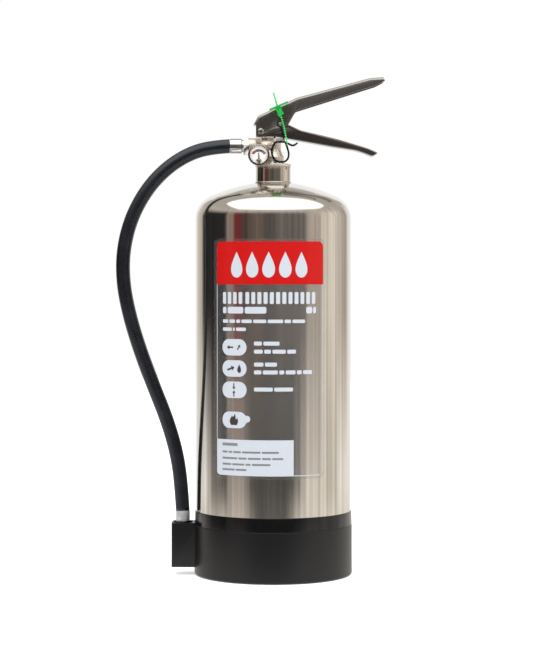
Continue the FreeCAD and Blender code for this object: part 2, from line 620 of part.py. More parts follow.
def safety_pin():
    """Pull pin with its moulded ring, and the tamper seal tied to it."""
    turned("safety_pin", [
        ("0", "-13"), ("pin_radius - 0.6", "-13"), ("pin_radius", "-12.4"), ("pin_radius", FRONT_GAP + " + 2.4"),
        ("pin_radius - 0.5", FRONT_GAP + " + 2.9"), ("0", FRONT_GAP + " + 2.9"),
    ], ("pin_across", "0", "pin_height"), FRONT)
    loop = piece("pull_ring", ("0", "-(" + FRONT_GAP + ")", "0"))
    pad(loop, "loop", "XZ_Plane", [
        [("1.4", "444.8", "round", "3.4"), ("-3.8", "434.6", "round", "12.6"), ("1.2", "422.6", "round", "9.6"),
         ("15", "422.6", "round", "7.1"), ("17.2", "432", "round", "14"), ("13.2", "444.8", "round", "3")],
        [("2.9", "442.9", "round", "1.5"), ("-1.7", "434.5", "round", "10.7"), ("2.5", "424.5", "round", "7.7"),
         ("13.7", "424.5", "round", "5.2"), ("15.2", "432", "round", "12"), ("11.7", "442.9", "round", "1.1")],
    ], "2")
    pad(loop, "eye", "XZ_Plane", [("pin_across", "pin_height", "pin_radius + 0.8")], "1.8")
    pad(loop, "strap", "XZ_Plane", [[("10.6", "443.8"), ("12.2", "443.8"),
                                    ("pin_across + 1.2", "pin_height"), ("pin_across - 0.4", "pin_height")]], "1.4")
    pad(loop, "tail", "XZ_Plane", [[
        ("13", "442.2"), ("18.6", "439.3", "round", "3"), ("22", "439.6", "round", "3"), ("25.4", "442.4"),
        ("24.2", "443.6"), ("21.4", "441.5", "round", "2"), ("19.2", "441.3", "round", "2"), ("12.9", "444.3"),
    ]], "2")
    pocket(loop, "eye_hole", "XZ_Plane", [("pin_across", "pin_height", "pin_radius")], "6", lift="3")


SEAL_TILT = 15.5


def tamper_seal():
    """Pull-tight seal: toothed tail, locking head, flag and strap, leaning a little to the right."""
    body = piece("tamper_seal", ("0.2", "-(" + FRONT_GAP + ") - 2.9", "494"))
    body.Placement.Rotation = FreeCAD.Rotation(FreeCAD.Vector(0, 1, 0), -SEAL_TILT)
    pad(body, "seal_head", "XZ_Plane", [[
        ("-1.2", "-25.2", "round", "0.5"), ("1.8", "-25.2", "round", "0.5"), ("2.65", "-15.2"), ("-2.65", "-15.2"),
    ]], "4.6", lift="-2.3")
    pad(body, "seal_latch", "XZ_Plane", [[("1.5", "-24.4"), ("4.2", "-23.4"), ("3.4", "-15.6"), ("2", "-15.6")]],
        "2.2", lift="-1.1")
    pad(body, "seal_tail", "XZ_Plane", [rectangle("-0.75", "-16", "0.75", "0")], "1.4", lift="-0.7")
    pad(body, "seal_strap", "XZ_Plane", [[
        ("-1.4", "-56.2"), ("0.1", "-56.5"), ("1.7", "-38", "round", "60"), ("1.7", "-24"), ("0.2", "-24"),
        ("0.2", "-38", "round", "60"),
    ]], "1.4", lift="-0.7")
    pad(body, "seal_flag", "XZ_Plane", [[
        ("-8.8", "-16.6"), ("0", "-15.4"), ("11.2", "-13.9"), ("11.2", "-13.3"), ("0", "-14.8"), ("-8.8", "-16"),
    ]], "17", lift="-2")


# ---------------------------------------------------------------- hose
# Centre line from the upper ferrule down to the lower ferrule, in the plane Y = 0.
HOSE_ROUTE = [
    (-44.7, 440.4), (-65.5, 439.2), (-88.5, 431.8), (-111.0, 417.0), (-131.0, 395.0), (-146.5, 366.0),
    (-154.6, 333.0), (-154.6, 300.0), (-148.2, 267.0), (-138.0, 233.0), (-124.6, 197.0), (-110.4, 161.5),
    (-100.6, 129.5), (-95.2, 97.0), (-93.4, 65.3),
]
ARC_SHARE = 0.45


def route_wire(points):
    """Straight runs joined by tangent arcs, each as large as its two runs allow."""
    edges, radii, here = [], [], points[0]
    for before, corner, after in zip(points, points[1:], points[2:]):
        inward, outward = (before - corner), (after - corner)
        back = ARC_SHARE * min(inward.Length, outward.Length)
        half_turn = (math.pi - inward.getAngle(outward)) / 2
        radius = back / math.tan(half_turn)
        start = corner + inward.normalize() * back
        finish = corner + outward.normalize() * back
        bisector = (inward + outward).normalize()
        middle = corner + bisector * (radius / math.cos(half_turn) - radius)
        edges += [Part.LineSegment(here, start).toShape(), Part.Arc(start, middle, finish).toShape()]
        radii.append(radius)
        here = finish
    edges.append(Part.LineSegment(here, points[-1]).toShape())
    return Part.Wire(edges), radii


def hose():
    """Rubber discharge hose as a plain round bar along its route."""
    points = [FreeCAD.Vector(across, 0, height) for across, height in HOSE_ROUTE]
    path, radii = route_wire(points)
    radius = value("hose_radius")
    section = Part.Wire([Part.makeCircle(radius, points[0], points[1] - points[0])])
    solid = path.makePipeShell([section], True, False)
    tube = document.addObject("Part::Feature", "hose")
    tube.Label = "hose"
    tube.Shape = solid
    nodes["hose"] = tube
    print("hose length %.1f mm, smallest arc %.1f mm" % (path.Length, min(radii)))
    print("hose arcs", " ".join("%.0f" % radius for radius in radii))
    print("hose volume ratio %.4f" % (solid.Volume / (math.pi * radius ** 2 * path.Length)))


def hose_ends():
    """Nut, tail, washer and ferrule at the valve; ferrule and nozzle at the base."""
    at = ("-outlet_end", "0", "outlet_height")
    nut = document.addObject("Part::Prism", "nut_blank")
    nut.Polygon = 6
    bind(nut, "Circumradius", "18.4 / 2 / cos(30)")
    bind(nut, "Height", "5.4")
    place(nut, at, LEFT)
    nut.Placement.Rotation = TURN[LEFT] * FreeCAD.Rotation(FreeCAD.Vector(0, 0, 1), 30)
    bore = document.addObject("Part::Cylinder", "nut_bore")
    bind(bore, "Radius", "6.6")
    bind(bore, "Height", "5.4")
    place(bore, at, LEFT)
    made = document.addObject("Part::Cut", "hose_nut")
    made.Base, made.Tool = nut, bore
    made.Label = "hose_nut"
    nodes["hose_nut"] = made
    turned("hose_tail", [
        ("3", "-6"), ("5.9", "-6"), ("5.9", "0"), ("6.6", "0"), ("6.6", "7.1"), ("4.2", "7.1"), ("4.2", "18"),
        ("3", "19"),
    ], at, LEFT)
    turned("hose_washer", [("3", "-7"), ("5.9", "-7"), ("5.9", "-6"), ("3", "-6")], at, LEFT)
    turned("upper_ferrule", [
        ("4.2", "7.1"), ("ferrule_radius - 0.6", "7.1"), ("ferrule_radius", "7.7"),
        ("ferrule_radius", "ferrule_end - outlet_end - 0.5"),
        ("ferrule_radius - 0.5", "ferrule_end - outlet_end"), ("4.2", "ferrule_end - outlet_end"),
    ], at, LEFT)
    lower = ("nozzle_across", "0", "nozzle_top")
    turned("lower_ferrule", [
        ("3.4", "0"), ("7.2", "0"), ("7.4", "0.4"), ("7.4", "10.6"), ("7", "11"), ("3.4", "11"),
    ], lower, DOWN)
    turned("nozzle", [
        ("2", "2"), ("3.4", "2"), ("3.4", "11"), ("6.2", "11"), ("6.2", "24"), ("5.4", "46"), ("5", "49"),
        ("2.4", "49"), ("2", "30"),
    ], lower, DOWN)


# ---------------------------------------------------------------- build
def check(thing):
    """Stop on a failed object or a bad shape."""
    states = set(thing.State) & {"Invalid", "Error"}
    if states:
        raise RuntimeError("%s is %s" % (thing.Label, states))


for build in (cylinder_shell, neck_ring, label, base_skirt, valve_body, valve_fittings, valve_inside, gauge,
              squeeze_lever, carry_handle, handle_pins, safety_pin, tamper_seal, hose, hose_ends):
    build()
document.recompute()

for thing in document.Objects:
    check(thing)
for name, part in nodes.items():
    if part.Shape.isNull() or not part.Shape.isValid():
        raise RuntimeError(name + " has a bad shape")

os.makedirs("parts", exist_ok=True)
for name, part in nodes.items():
    part.Shape.exportStep("parts/%s.step" % name)
print("%d sub-parts written" % len(nodes))
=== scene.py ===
"""A polished stainless fire extinguisher, dressed for close viewing.

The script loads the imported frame, adds the smooth and soft pieces round it, gives every piece a
finish, and sets up a plain white studio.  Lengths are in metres unless a name says otherwise.
"""
import json
import logging
import math
from dataclasses import dataclass, field
from enum import Enum
from typing import Iterable, Optional

import bmesh
import bpy
from mathutils import Matrix, Vector


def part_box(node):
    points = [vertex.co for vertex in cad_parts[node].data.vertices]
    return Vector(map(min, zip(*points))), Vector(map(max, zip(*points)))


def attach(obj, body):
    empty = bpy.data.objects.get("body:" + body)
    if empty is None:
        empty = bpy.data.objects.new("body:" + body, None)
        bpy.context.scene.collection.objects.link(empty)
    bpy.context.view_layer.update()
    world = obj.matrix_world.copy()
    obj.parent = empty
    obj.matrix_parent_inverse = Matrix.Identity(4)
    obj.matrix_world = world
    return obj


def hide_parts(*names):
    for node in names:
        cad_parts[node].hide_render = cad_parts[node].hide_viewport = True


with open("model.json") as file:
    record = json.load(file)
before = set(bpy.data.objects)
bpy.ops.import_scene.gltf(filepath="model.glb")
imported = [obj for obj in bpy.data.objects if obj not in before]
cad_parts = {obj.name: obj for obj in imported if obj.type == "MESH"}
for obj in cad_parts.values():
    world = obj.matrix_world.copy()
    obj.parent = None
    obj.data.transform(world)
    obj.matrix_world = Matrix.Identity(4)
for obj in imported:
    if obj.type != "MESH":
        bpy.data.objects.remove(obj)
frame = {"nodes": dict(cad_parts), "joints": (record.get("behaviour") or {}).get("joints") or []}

LOG = logging.getLogger("extinguisher")
MM = 0.001
Point = tuple[float, float, float]


class Body(Enum):
    """The bodies that pieces ride on."""

    EXTINGUISHER = "extinguisher"
    LEVER = "squeeze_lever"
    STEM = "stem"
    PIN = "safety_pin"
    NEEDLE = "needle"


class Facing(Enum):
    """The way a turned piece's own +Z points."""

    FRONT = Matrix.Rotation(math.pi / 2, 4, "X")


# ---------------------------------------------------------------- finishes
def linear(code: str) -> tuple[float, float, float, float]:
    """Turn an sRGB hex colour into the linear colour that a socket takes.

    Args:
        code: six hex digits.

    Returns:
        Red, green, blue and alpha.
    """
    channels = [int(code[place:place + 2], 16) / 255 for place in (0, 2, 4)]
    curve = [c / 12.92 if c <= 0.04045 else ((c + 0.055) / 1.055) ** 2.4 for c in channels]
    return curve[0], curve[1], curve[2], 1.0


def add_node(tree: bpy.types.NodeTree, kind: str, settings: Optional[dict] = None,
             links: Optional[dict] = None) -> bpy.types.Node:
    """Add one node with its settings and its incoming links.

    Args:
        tree: the node tree.
        kind: the node's type.
        settings: properties or sockets by name or number, with their values.
        links: sockets by name or number, with the outputs that feed them.

    Returns:
        The new node.
    """
    node = tree.nodes.new(kind)
    for name, setting in (settings or {}).items():
        if isinstance(name, str) and hasattr(node, name):
            setattr(node, name, setting)
        else:
            node.inputs[name].default_value = setting
    for name, output in (links or {}).items():
        tree.links.new(output, node.inputs[name])
    return node


def calculate(tree: bpy.types.NodeTree, operation: str, value: bpy.types.NodeSocket,
              *others: "float | bpy.types.NodeSocket") -> bpy.types.NodeSocket:
    """Add one arithmetic node.

    Args:
        tree: the node tree.
        operation: what it does, such as "MULTIPLY".
        value: the output that it starts from.
        others: its other terms, each a number or an output.

    Returns:
        The output with the result.
    """
    node = add_node(tree, "ShaderNodeMath", {"operation": operation}, {0: value})
    for place, term in enumerate(others, start=1):
        if isinstance(term, bpy.types.NodeSocket):
            tree.links.new(term, node.inputs[place])
        else:
            node.inputs[place].default_value = term
    return node.outputs[0]


@dataclass(frozen=True)
class Finish:
    """A real surface: its colour, gloss and the fine unevenness of how it was made."""

    name: str
    colour: str
    shade: str
    metallic: float = 0.0
    roughness: float = 0.5
    spread: float = 0.08
    grain_mm: float = 4.0
    stretch: Point = (1.0, 1.0, 1.0)
    relief_mm: float = 0.0
    sockets: dict = field(default_factory=dict)

    def material(self) -> bpy.types.Material:
        """Make the finish's material once, and return it."""
        made = bpy.data.materials.get(self.name)
        if made:
            return made
        made = bpy.data.materials.new(self.name)
        made.use_nodes = True
        tree = made.node_tree
        tree.nodes.clear()
        shader = add_node(tree, "ShaderNodeBsdfPrincipled", {"Metallic": self.metallic, **self.sockets})
        add_node(tree, "ShaderNodeOutputMaterial", links={"Surface": shader.outputs["BSDF"]})
        self.pattern(tree, shader)
        return made

    def place(self, tree: bpy.types.NodeTree) -> bpy.types.NodeSocket:
        """Where the pattern is read: the piece's place in the frame, one unit to a grain."""
        where = add_node(tree, "ShaderNodeTexCoord")
        size = tuple(way / (self.grain_mm * MM) for way in self.stretch)
        return add_node(tree, "ShaderNodeMapping", {"Scale": size},
                        {"Vector": where.outputs["Object"]}).outputs["Vector"]

    def pattern(self, tree: bpy.types.NodeTree, shader: bpy.types.Node) -> None:
        """Drive colour, roughness and relief from one uneven grain.

        Args:
            tree: the material's nodes.
            shader: its Principled shader.
        """
        grain = add_node(tree, "ShaderNodeTexNoise", {"Scale": 1.0, "Detail": 5.0, "Roughness": 0.6},
                         {"Vector": self.place(tree)})
        self.colour_from(tree, shader, grain.outputs["Fac"])
        self.roughness_from(tree, shader, grain.outputs["Fac"])
        if self.relief_mm:
            self.relief_from(tree, shader, grain.outputs["Fac"])

    def colour_from(self, tree: bpy.types.NodeTree, shader: bpy.types.Node,
                    grain: bpy.types.NodeSocket) -> None:
        """Mix the two colours by the grain."""
        colours = {"data_type": "RGBA", 6: linear(self.colour), 7: linear(self.shade)}
        mix = add_node(tree, "ShaderNodeMix", colours, {0: grain})
        tree.links.new(mix.outputs[2], shader.inputs["Base Color"])

    def roughness_from(self, tree: bpy.types.NodeTree, shader: bpy.types.Node,
                       grain: bpy.types.NodeSocket) -> None:
        """Spread the roughness about its middle by the grain."""
        low, high = max(self.roughness - self.spread, 0.01), self.roughness + self.spread
        gloss = add_node(tree, "ShaderNodeMapRange",
                         {"From Min": 0.3, "From Max": 0.7, "To Min": low, "To Max": high}, {"Value": grain})
        tree.links.new(gloss.outputs["Result"], shader.inputs["Roughness"])

    def relief_from(self, tree: bpy.types.NodeTree, shader: bpy.types.Node,
                    grain: bpy.types.NodeSocket) -> None:
        """Raise the surface by the grain."""
        bump = add_node(tree, "ShaderNodeBump", {"Strength": 1.0, "Distance": self.relief_mm * MM},
                        {"Height": grain})
        tree.links.new(bump.outputs["Normal"], shader.inputs["Normal"])


@dataclass(frozen=True)
class PolishedSheet(Finish):
    """Spun and buffed stainless sheet: faint lines run round it, with soft cloudy smears."""

    def pattern(self, tree: bpy.types.NodeTree, shader: bpy.types.Node) -> None:
        """Lay fine buffing lines and a slow ripple over a near-mirror.

        Args:
            tree: the material's nodes.
            shader: its Principled shader.
        """
        lines = add_node(tree, "ShaderNodeTexNoise", {"Scale": 1.0, "Detail": 3.0},
                         {"Vector": self.place(tree)})
        where = add_node(tree, "ShaderNodeTexCoord")
        smears = add_node(tree, "ShaderNodeTexNoise", {"Scale": 22.0, "Detail": 2.0},
                          {"Vector": where.outputs["Object"]})
        self.colour_from(tree, shader, smears.outputs["Fac"])
        both = calculate(tree, "MULTIPLY_ADD", lines.outputs["Fac"], 0.5, smears.outputs["Fac"])
        self.roughness_from(tree, shader, calculate(tree, "MULTIPLY", both, 0.67))
        self.relief_from(tree, shader, lines.outputs["Fac"])
        upright = add_node(tree, "ShaderNodeCombineXYZ", {"Z": 1.0})
        tree.links.new(upright.outputs["Vector"], shader.inputs["Tangent"])


@dataclass(frozen=True)
class ClothWrap(Finish):
    """Rubber cured under a wrapped cloth tape, which leaves a fine slanting weave in its skin."""

    thread_mm: float = 2.1
    around_mm: float = 45.6
    # How far each row of threads leans, and how high it stands.
    thread_rows: tuple = ((0.7, 1.0), (-1.4, 0.45))

    def pattern(self, tree: bpy.types.NodeTree, shader: bpy.types.Node) -> None:
        """Cross two slanting rows of threads, read round and along the hose.

        Args:
            tree: the material's nodes.
            shader: its Principled shader.
        """
        where = add_node(tree, "ShaderNodeTexCoord")
        parts = add_node(tree, "ShaderNodeSeparateXYZ", links={"Vector": where.outputs["UV"]})
        count = round(self.around_mm / self.thread_mm)
        rows = []
        for slant, height in self.thread_rows:
            turn = calculate(tree, "MULTIPLY", parts.outputs["Y"], float(count))
            lean = calculate(tree, "MULTIPLY_ADD", parts.outputs["X"], float(round(count * slant)), turn)
            wave = calculate(tree, "SINE", calculate(tree, "MULTIPLY", lean, 2 * math.pi))
            rows.append(calculate(tree, "MULTIPLY", wave, height))
        weave = calculate(tree, "ADD", rows[0], rows[1])
        worn = add_node(tree, "ShaderNodeTexNoise", {"Scale": 60.0, "Detail": 4.0},
                        {"Vector": where.outputs["Object"]})
        grain = calculate(tree, "MULTIPLY_ADD", weave, 0.22, worn.outputs["Fac"])
        self.colour_from(tree, shader, grain)
        self.roughness_from(tree, shader, grain)
        self.relief_from(tree, shader, grain)


# Mirror-buffed stainless: reflections stay crisp across it and smear a little up and down.
POLISHED_STEEL = PolishedSheet("buffed_stainless_sheet", "E4E0DA", "D9D4CD", 1.0, 0.11, 0.03, 0.5,
                               (0.012, 0.012, 1.0), 0.0008, {"Anisotropic": 0.7})
# Turned stainless bush: bright, with fine lathe lines round it.
TURNED_STEEL = Finish("lathe_turned_stainless", "E0DCD6", "CFC9C1", 1.0, 0.06, 0.03, 0.4,
                      (0.02, 0.02, 1.0), 0.0006)
# Dull nickel over forged brass: warm grey-beige with a soft, slightly pebbled shine.
NICKEL_BRASS = Finish("nickel_over_forged_brass", "EAE3D8", "CFC5B7", 0.72, 0.26, 0.08, 1.6, relief_mm=0.03)
# The gauge's rolled bezel: the same plate, its colour darkened as painted shade.
SHADED_NICKEL = Finish("nickel_plate_painted_shade", "A89B8B", "84786A", 1.0, 0.16, 0.06, 1.2, relief_mm=0.01)
# Bare turned brass, hidden inside.
BRASS = Finish("turned_brass", "C9A45A", "B48F48", 1.0, 0.25, 0.06, 1.0, (0.1, 0.1, 1.0), 0.01)
# Bright chrome plate on a turned fitting.
CHROME = Finish("chrome_plate", "E4E5E6", "D4D6D8", 1.0, 0.07, 0.04, 2.0, relief_mm=0.003)
# Pressed and barrel-finished stainless: satin, with short scratches along the handle.
SATIN_STEEL = PolishedSheet("satin_pressed_stainless", "B4B2AF", "8F8C89", 1.0, 0.2, 0.06, 0.5,
                            (0.03, 1.0, 1.0), 0.0012, {"Anisotropic": 0.6})
# The carry handle's glossier sheet, its colour darkened as a painted reflection of the dark room.
REFLECTION_DARKENED_STEEL = Finish("glossy_stainless_painted_dark_reflection", "8C8783", "767270", 1.0, 0.17, 0.05, 3.0,
                    (0.3, 1.0, 1.0), 0.004)
# Headed mild steel, zinc plated.
ZINC_STEEL = Finish("zinc_plated_rivet", "B9B5AE", "9C9892", 1.0, 0.24, 0.08, 0.8, relief_mm=0.015)
# Bright drawn pin.
DRAWN_STEEL = Finish("bright_drawn_steel", "E6E6E6", "D0D0D0", 1.0, 0.14, 0.05, 0.7, (0.2, 1.0, 0.2), 0.006)
# Pressed steel ferrule at the nozzle, bright and partly lacquered.
FERRULE_STEEL = Finish("pressed_steel_ferrule", "E4E7EA", "C6C9CC", 0.6, 0.14, 0.05, 0.9,
                       (1.0, 1.0, 0.08), 0.008)
# Polypropylene moulding with a spark-eroded texture: charcoal, quite matt.
MATT_MOULDING = Finish("textured_polypropylene", "121214", "0E0E10", 0.0, 0.36, 0.06, 0.9, relief_mm=0.015,
                       sockets={"Specular IOR Level": 0.45})
# The same moulding where the tool is polished.
GLOSS_MOULDING = Finish("glossy_polypropylene", "0A0A0C", "070709", 0.0, 0.16, 0.05, 3.0, relief_mm=0.01)
# Cloth-wrapped rubber hose with a waxy shine.
HOSE_RUBBER = ClothWrap("cloth_wrapped_rubber", "020304", "14181F", 0.0, 0.27, 0.1, relief_mm=0.14,
                        sockets={"Specular IOR Level": 0.9, "Specular Tint": linear("DDE6F4")})
# Seal rubber and hidden seals.
NITRILE = Finish("nitrile_rubber", "1A1A1A", "101010", 0.0, 0.6, 0.08, 0.8, relief_mm=0.02)
# Moulded nylon of the pull ring: black with a soft gloss.
NYLON = Finish("black_nylon", "0B0B0D", "060608", 0.0, 0.3, 0.08, 1.2, relief_mm=0.02)
# Nozzle nylon.
NOZZLE_NYLON = Finish("matt_nylon", "161618", "0E0E10", 0.0, 0.45, 0.08, 0.8, relief_mm=0.02)
# Natural polyethylene dip tube.
POLYETHYLENE = Finish("natural_polyethylene", "E4E6E2", "D6D8D4", 0.0, 0.4, 0.05, 2.0)
# Seal polypropylene: bright green that lets light through.
SEAL_GREEN = Finish("translucent_green_polypropylene", "1FC552", "12A63E", 0.0, 0.35, 0.06, 1.5,
                    sockets={"Subsurface Weight": 0.5, "Subsurface Radius": (0.2, 1.0, 0.3),
                             "Subsurface Scale": 0.002, "Transmission Weight": 0.15})
# The seal's beads: the same green made paler as painted highlight, with more light let through.
SEAL_PAINTED_HIGHLIGHT = Finish("green_polypropylene_painted_highlight", "5FE58B", "43D873", 0.0, 0.35, 0.06, 1.5,
                   sockets={"Subsurface Weight": 0.6, "Subsurface Radius": (0.3, 1.0, 0.4),
                            "Subsurface Scale": 0.002, "Transmission Weight": 0.35})
# Screen inks under a clear film: even colour, gently glossy.
RED_INK = Finish("red_screen_ink", "AC0A08", "A60907", 0.0, 0.22, 0.04, 6.0, relief_mm=0.004,
                 sockets={"Specular IOR Level": 0.3})
WHITE_INK = Finish("white_screen_ink", "B2B7BE", "ABB0B8", 0.0, 0.24, 0.04, 6.0, relief_mm=0.004)
GREY_INK = Finish("grey_screen_ink", "75777B", "66686C", 0.0, 0.3, 0.04, 3.0)
DARK_INK = Finish("dark_screen_ink", "3A3534", "2C2827", 0.0, 0.3, 0.04, 3.0)
# Printed dial: satin white enamel with red and green fields.
DIAL_WHITE = Finish("printed_dial_enamel", "F1F1F0", "E7E6E4", 0.0, 0.4, 0.05, 2.0)
DIAL_RED = Finish("dial_red", "8E0E12", "820C10", 0.0, 0.4, 0.05, 2.0)
DIAL_GREEN = Finish("dial_green", "0B4A26", "08401F", 0.0, 0.4, 0.05, 2.0)
NEEDLE_BLACK = Finish("needle_enamel", "17171A", "0E0E10", 0.0, 0.35, 0.05, 1.0)
NEEDLE_HUB = Finish("needle_hub_brass", "B98A3A", "94692A", 1.0, 0.3, 0.08, 0.6)
# Clear polycarbonate window and clear polyester film.
CLEAR_WINDOW = Finish("clear_polycarbonate", "FFFFFF", "FBFCFC", 0.0, 0.04, 0.02, 3.0,
                      sockets={"Alpha": 0.03, "IOR": 1.45})
CLEAR_FILM = Finish("clear_polyester_film", "8A8A8A", "808080", 0.0, 0.12, 0.03, 5.0,
                    sockets={"Alpha": 0.05, "IOR": 1.4})


# ---------------------------------------------------------------- modelling
def look_away() -> None:
    """Leave nothing selected and no object in edit mode."""
    if bpy.context.object and bpy.context.object.mode != "OBJECT":
        bpy.ops.object.mode_set(mode="OBJECT")
    bpy.ops.object.select_all(action="DESELECT")


def work_on(piece: bpy.types.Object) -> None:
    """Make one object the only selected and the active one."""
    look_away()
    piece.select_set(True)
    bpy.context.view_layer.objects.active = piece


def apply_modifier(piece: bpy.types.Object, kind: str, **settings: object) -> None:
    """Add a modifier with its settings and apply it.

    Args:
        piece: the mesh object.
        kind: the modifier's type.
        settings: its properties.
    """
    work_on(piece)
    modifier = piece.modifiers.new(kind.lower(), kind)
    for name, setting in settings.items():
        setattr(modifier, name, setting)
    bpy.ops.object.modifier_apply(modifier=modifier.name)


def settle(piece: bpy.types.Object, where: Matrix = Matrix.Identity(4)) -> None:
    """Put a piece's place into its mesh and leave the object at the origin.

    Args:
        piece: the object.
        where: a last move or turn.
    """
    look_away()
    piece.data.transform(where @ piece.matrix_world)
    piece.matrix_world = Matrix.Identity(4)
    if where.determinant() < 0:
        piece.data.flip_normals()


def smooth(piece: bpy.types.Object, degrees: float = 30.0) -> None:
    """Shade a piece smooth except across edges sharper than an angle."""
    work_on(piece)
    bpy.ops.object.shade_smooth_by_angle(angle=math.radians(degrees))


def tidy_mesh(piece: bpy.types.Object) -> None:
    """Merge doubles and turn every face outwards."""
    work_on(piece)
    bpy.ops.object.mode_set(mode="EDIT")
    bpy.ops.mesh.select_all(action="SELECT")
    bpy.ops.mesh.remove_doubles(threshold=1e-6)
    bpy.ops.mesh.normals_make_consistent(inside=False)
    bpy.ops.object.mode_set(mode="OBJECT")


def finish_piece(piece: bpy.types.Object, name: str, finish: Finish, body: Body,
                 stands_for: Iterable[str] = ()) -> bpy.types.Object:
    """Name a piece, dress it, and let it ride on its body.

    Args:
        piece: the object, already in place.
        name: its name.
        finish: what it is made of.
        body: the body that it moves with.
        stands_for: the CAD nodes that it replaces.

    Returns:
        The piece.
    """
    piece.name = piece.data.name = name
    piece.data.materials.clear()
    piece.data.materials.append(finish.material())
    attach(piece, body.value)
    nodes = list(stands_for)
    if nodes:
        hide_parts(*nodes)
    LOG.info("%s: %d faces", name, len(piece.data.polygons))
    return piece


def turned(profile: list[tuple[float, float]], segments: int = 96, closed: bool = True) -> bpy.types.Object:
    """Turn a half section about Z by extruding a circle from ring to ring.

    Args:
        profile: (radius, height) from ring to ring; a radius of nought is a pole.
        segments: points round each ring.
        closed: join the last ring to the first, for a ring with a bore.

    Returns:
        The turned object, in place on its own axis.
    """
    look_away()
    tiny = 1e-5
    radius, height = profile[0]
    bpy.ops.mesh.primitive_circle_add(vertices=segments, radius=max(radius, tiny), location=(0, 0, height))
    piece = bpy.context.object
    bpy.ops.object.mode_set(mode="EDIT")
    bpy.ops.mesh.select_all(action="SELECT")
    path = profile[1:] + ([profile[0]] if closed else [])
    for next_radius, next_height in path:
        scale = max(next_radius, tiny) / max(radius, tiny)
        bpy.ops.mesh.extrude_region_move(TRANSFORM_OT_translate={"value": (0, 0, next_height - height)})
        bpy.ops.transform.resize(value=(scale, scale, 1), center_override=(0, 0, next_height))
        radius, height = next_radius, next_height
    bpy.ops.object.mode_set(mode="OBJECT")
    settle(piece)
    tidy_poles(piece, tiny * 2)
    tidy_mesh(piece)
    return piece


def tidy_poles(piece: bpy.types.Object, reach: float) -> None:
    """Merge the tiny rings on the axis into single points."""
    work_on(piece)
    for vertex in piece.data.vertices:
        if math.hypot(vertex.co.x, vertex.co.y) < reach:
            vertex.co.x = vertex.co.y = 0.0


def arc_points(centre: tuple[float, float], radius: float, start: float, end: float,
               steps: int) -> list[tuple[float, float]]:
    """Points along an arc of a half section.

    Args:
        centre: (radius, height) of the arc's centre.
        radius: the arc's radius.
        start: first angle in degrees, counted from +radius towards +height.
        end: last angle in degrees.
        steps: how many stretches the arc has.

    Returns:
        Steps + 1 points, both ends among them.
    """
    angles = [math.radians(start + (end - start) * step / steps) for step in range(steps + 1)]
    return [(centre[0] + radius * math.cos(a), centre[1] + radius * math.sin(a)) for a in angles]


def refined(node: str, name: str, finish: Finish, body: Body, edge: float = 0.0,
            angle: float = 30.0) -> bpy.types.Object:
    """A smooth copy of a CAD node, with its sharp edges eased.

    Args:
        node: the CAD node that it replaces.
        name: the copy's name.
        finish: what it is made of.
        body: the body that it moves with.
        edge: width of the eased edges.
        angle: edges sharper than this stay sharp, in degrees.

    Returns:
        The copy.
    """
    look_away()
    source = frame["nodes"][node]
    piece = bpy.data.objects.new(name, source.data.copy())
    bpy.context.scene.collection.objects.link(piece)
    work_on(piece)
    bpy.ops.object.mode_set(mode="EDIT")
    bpy.ops.mesh.select_all(action="SELECT")
    bpy.ops.mesh.remove_doubles(threshold=2e-6)
    bpy.ops.mesh.dissolve_limited(angle_limit=math.radians(0.6))
    bpy.ops.object.mode_set(mode="OBJECT")
    if piece.data.has_custom_normals:
        bpy.ops.mesh.customdata_custom_splitnormals_clear()
    if edge:
        apply_modifier(piece, "BEVEL", width=edge, segments=2, limit_method="ANGLE",
                       angle_limit=math.radians(angle + 8), use_clamp_overlap=True)
    smooth(piece, angle)
    return finish_piece(piece, name, finish, body, [node])


def dress(node: str, finish: Finish) -> None:
    """Give a CAD node that stays its material."""
    piece = frame["nodes"][node]
    piece.data.materials.clear()
    piece.data.materials.append(finish.material())


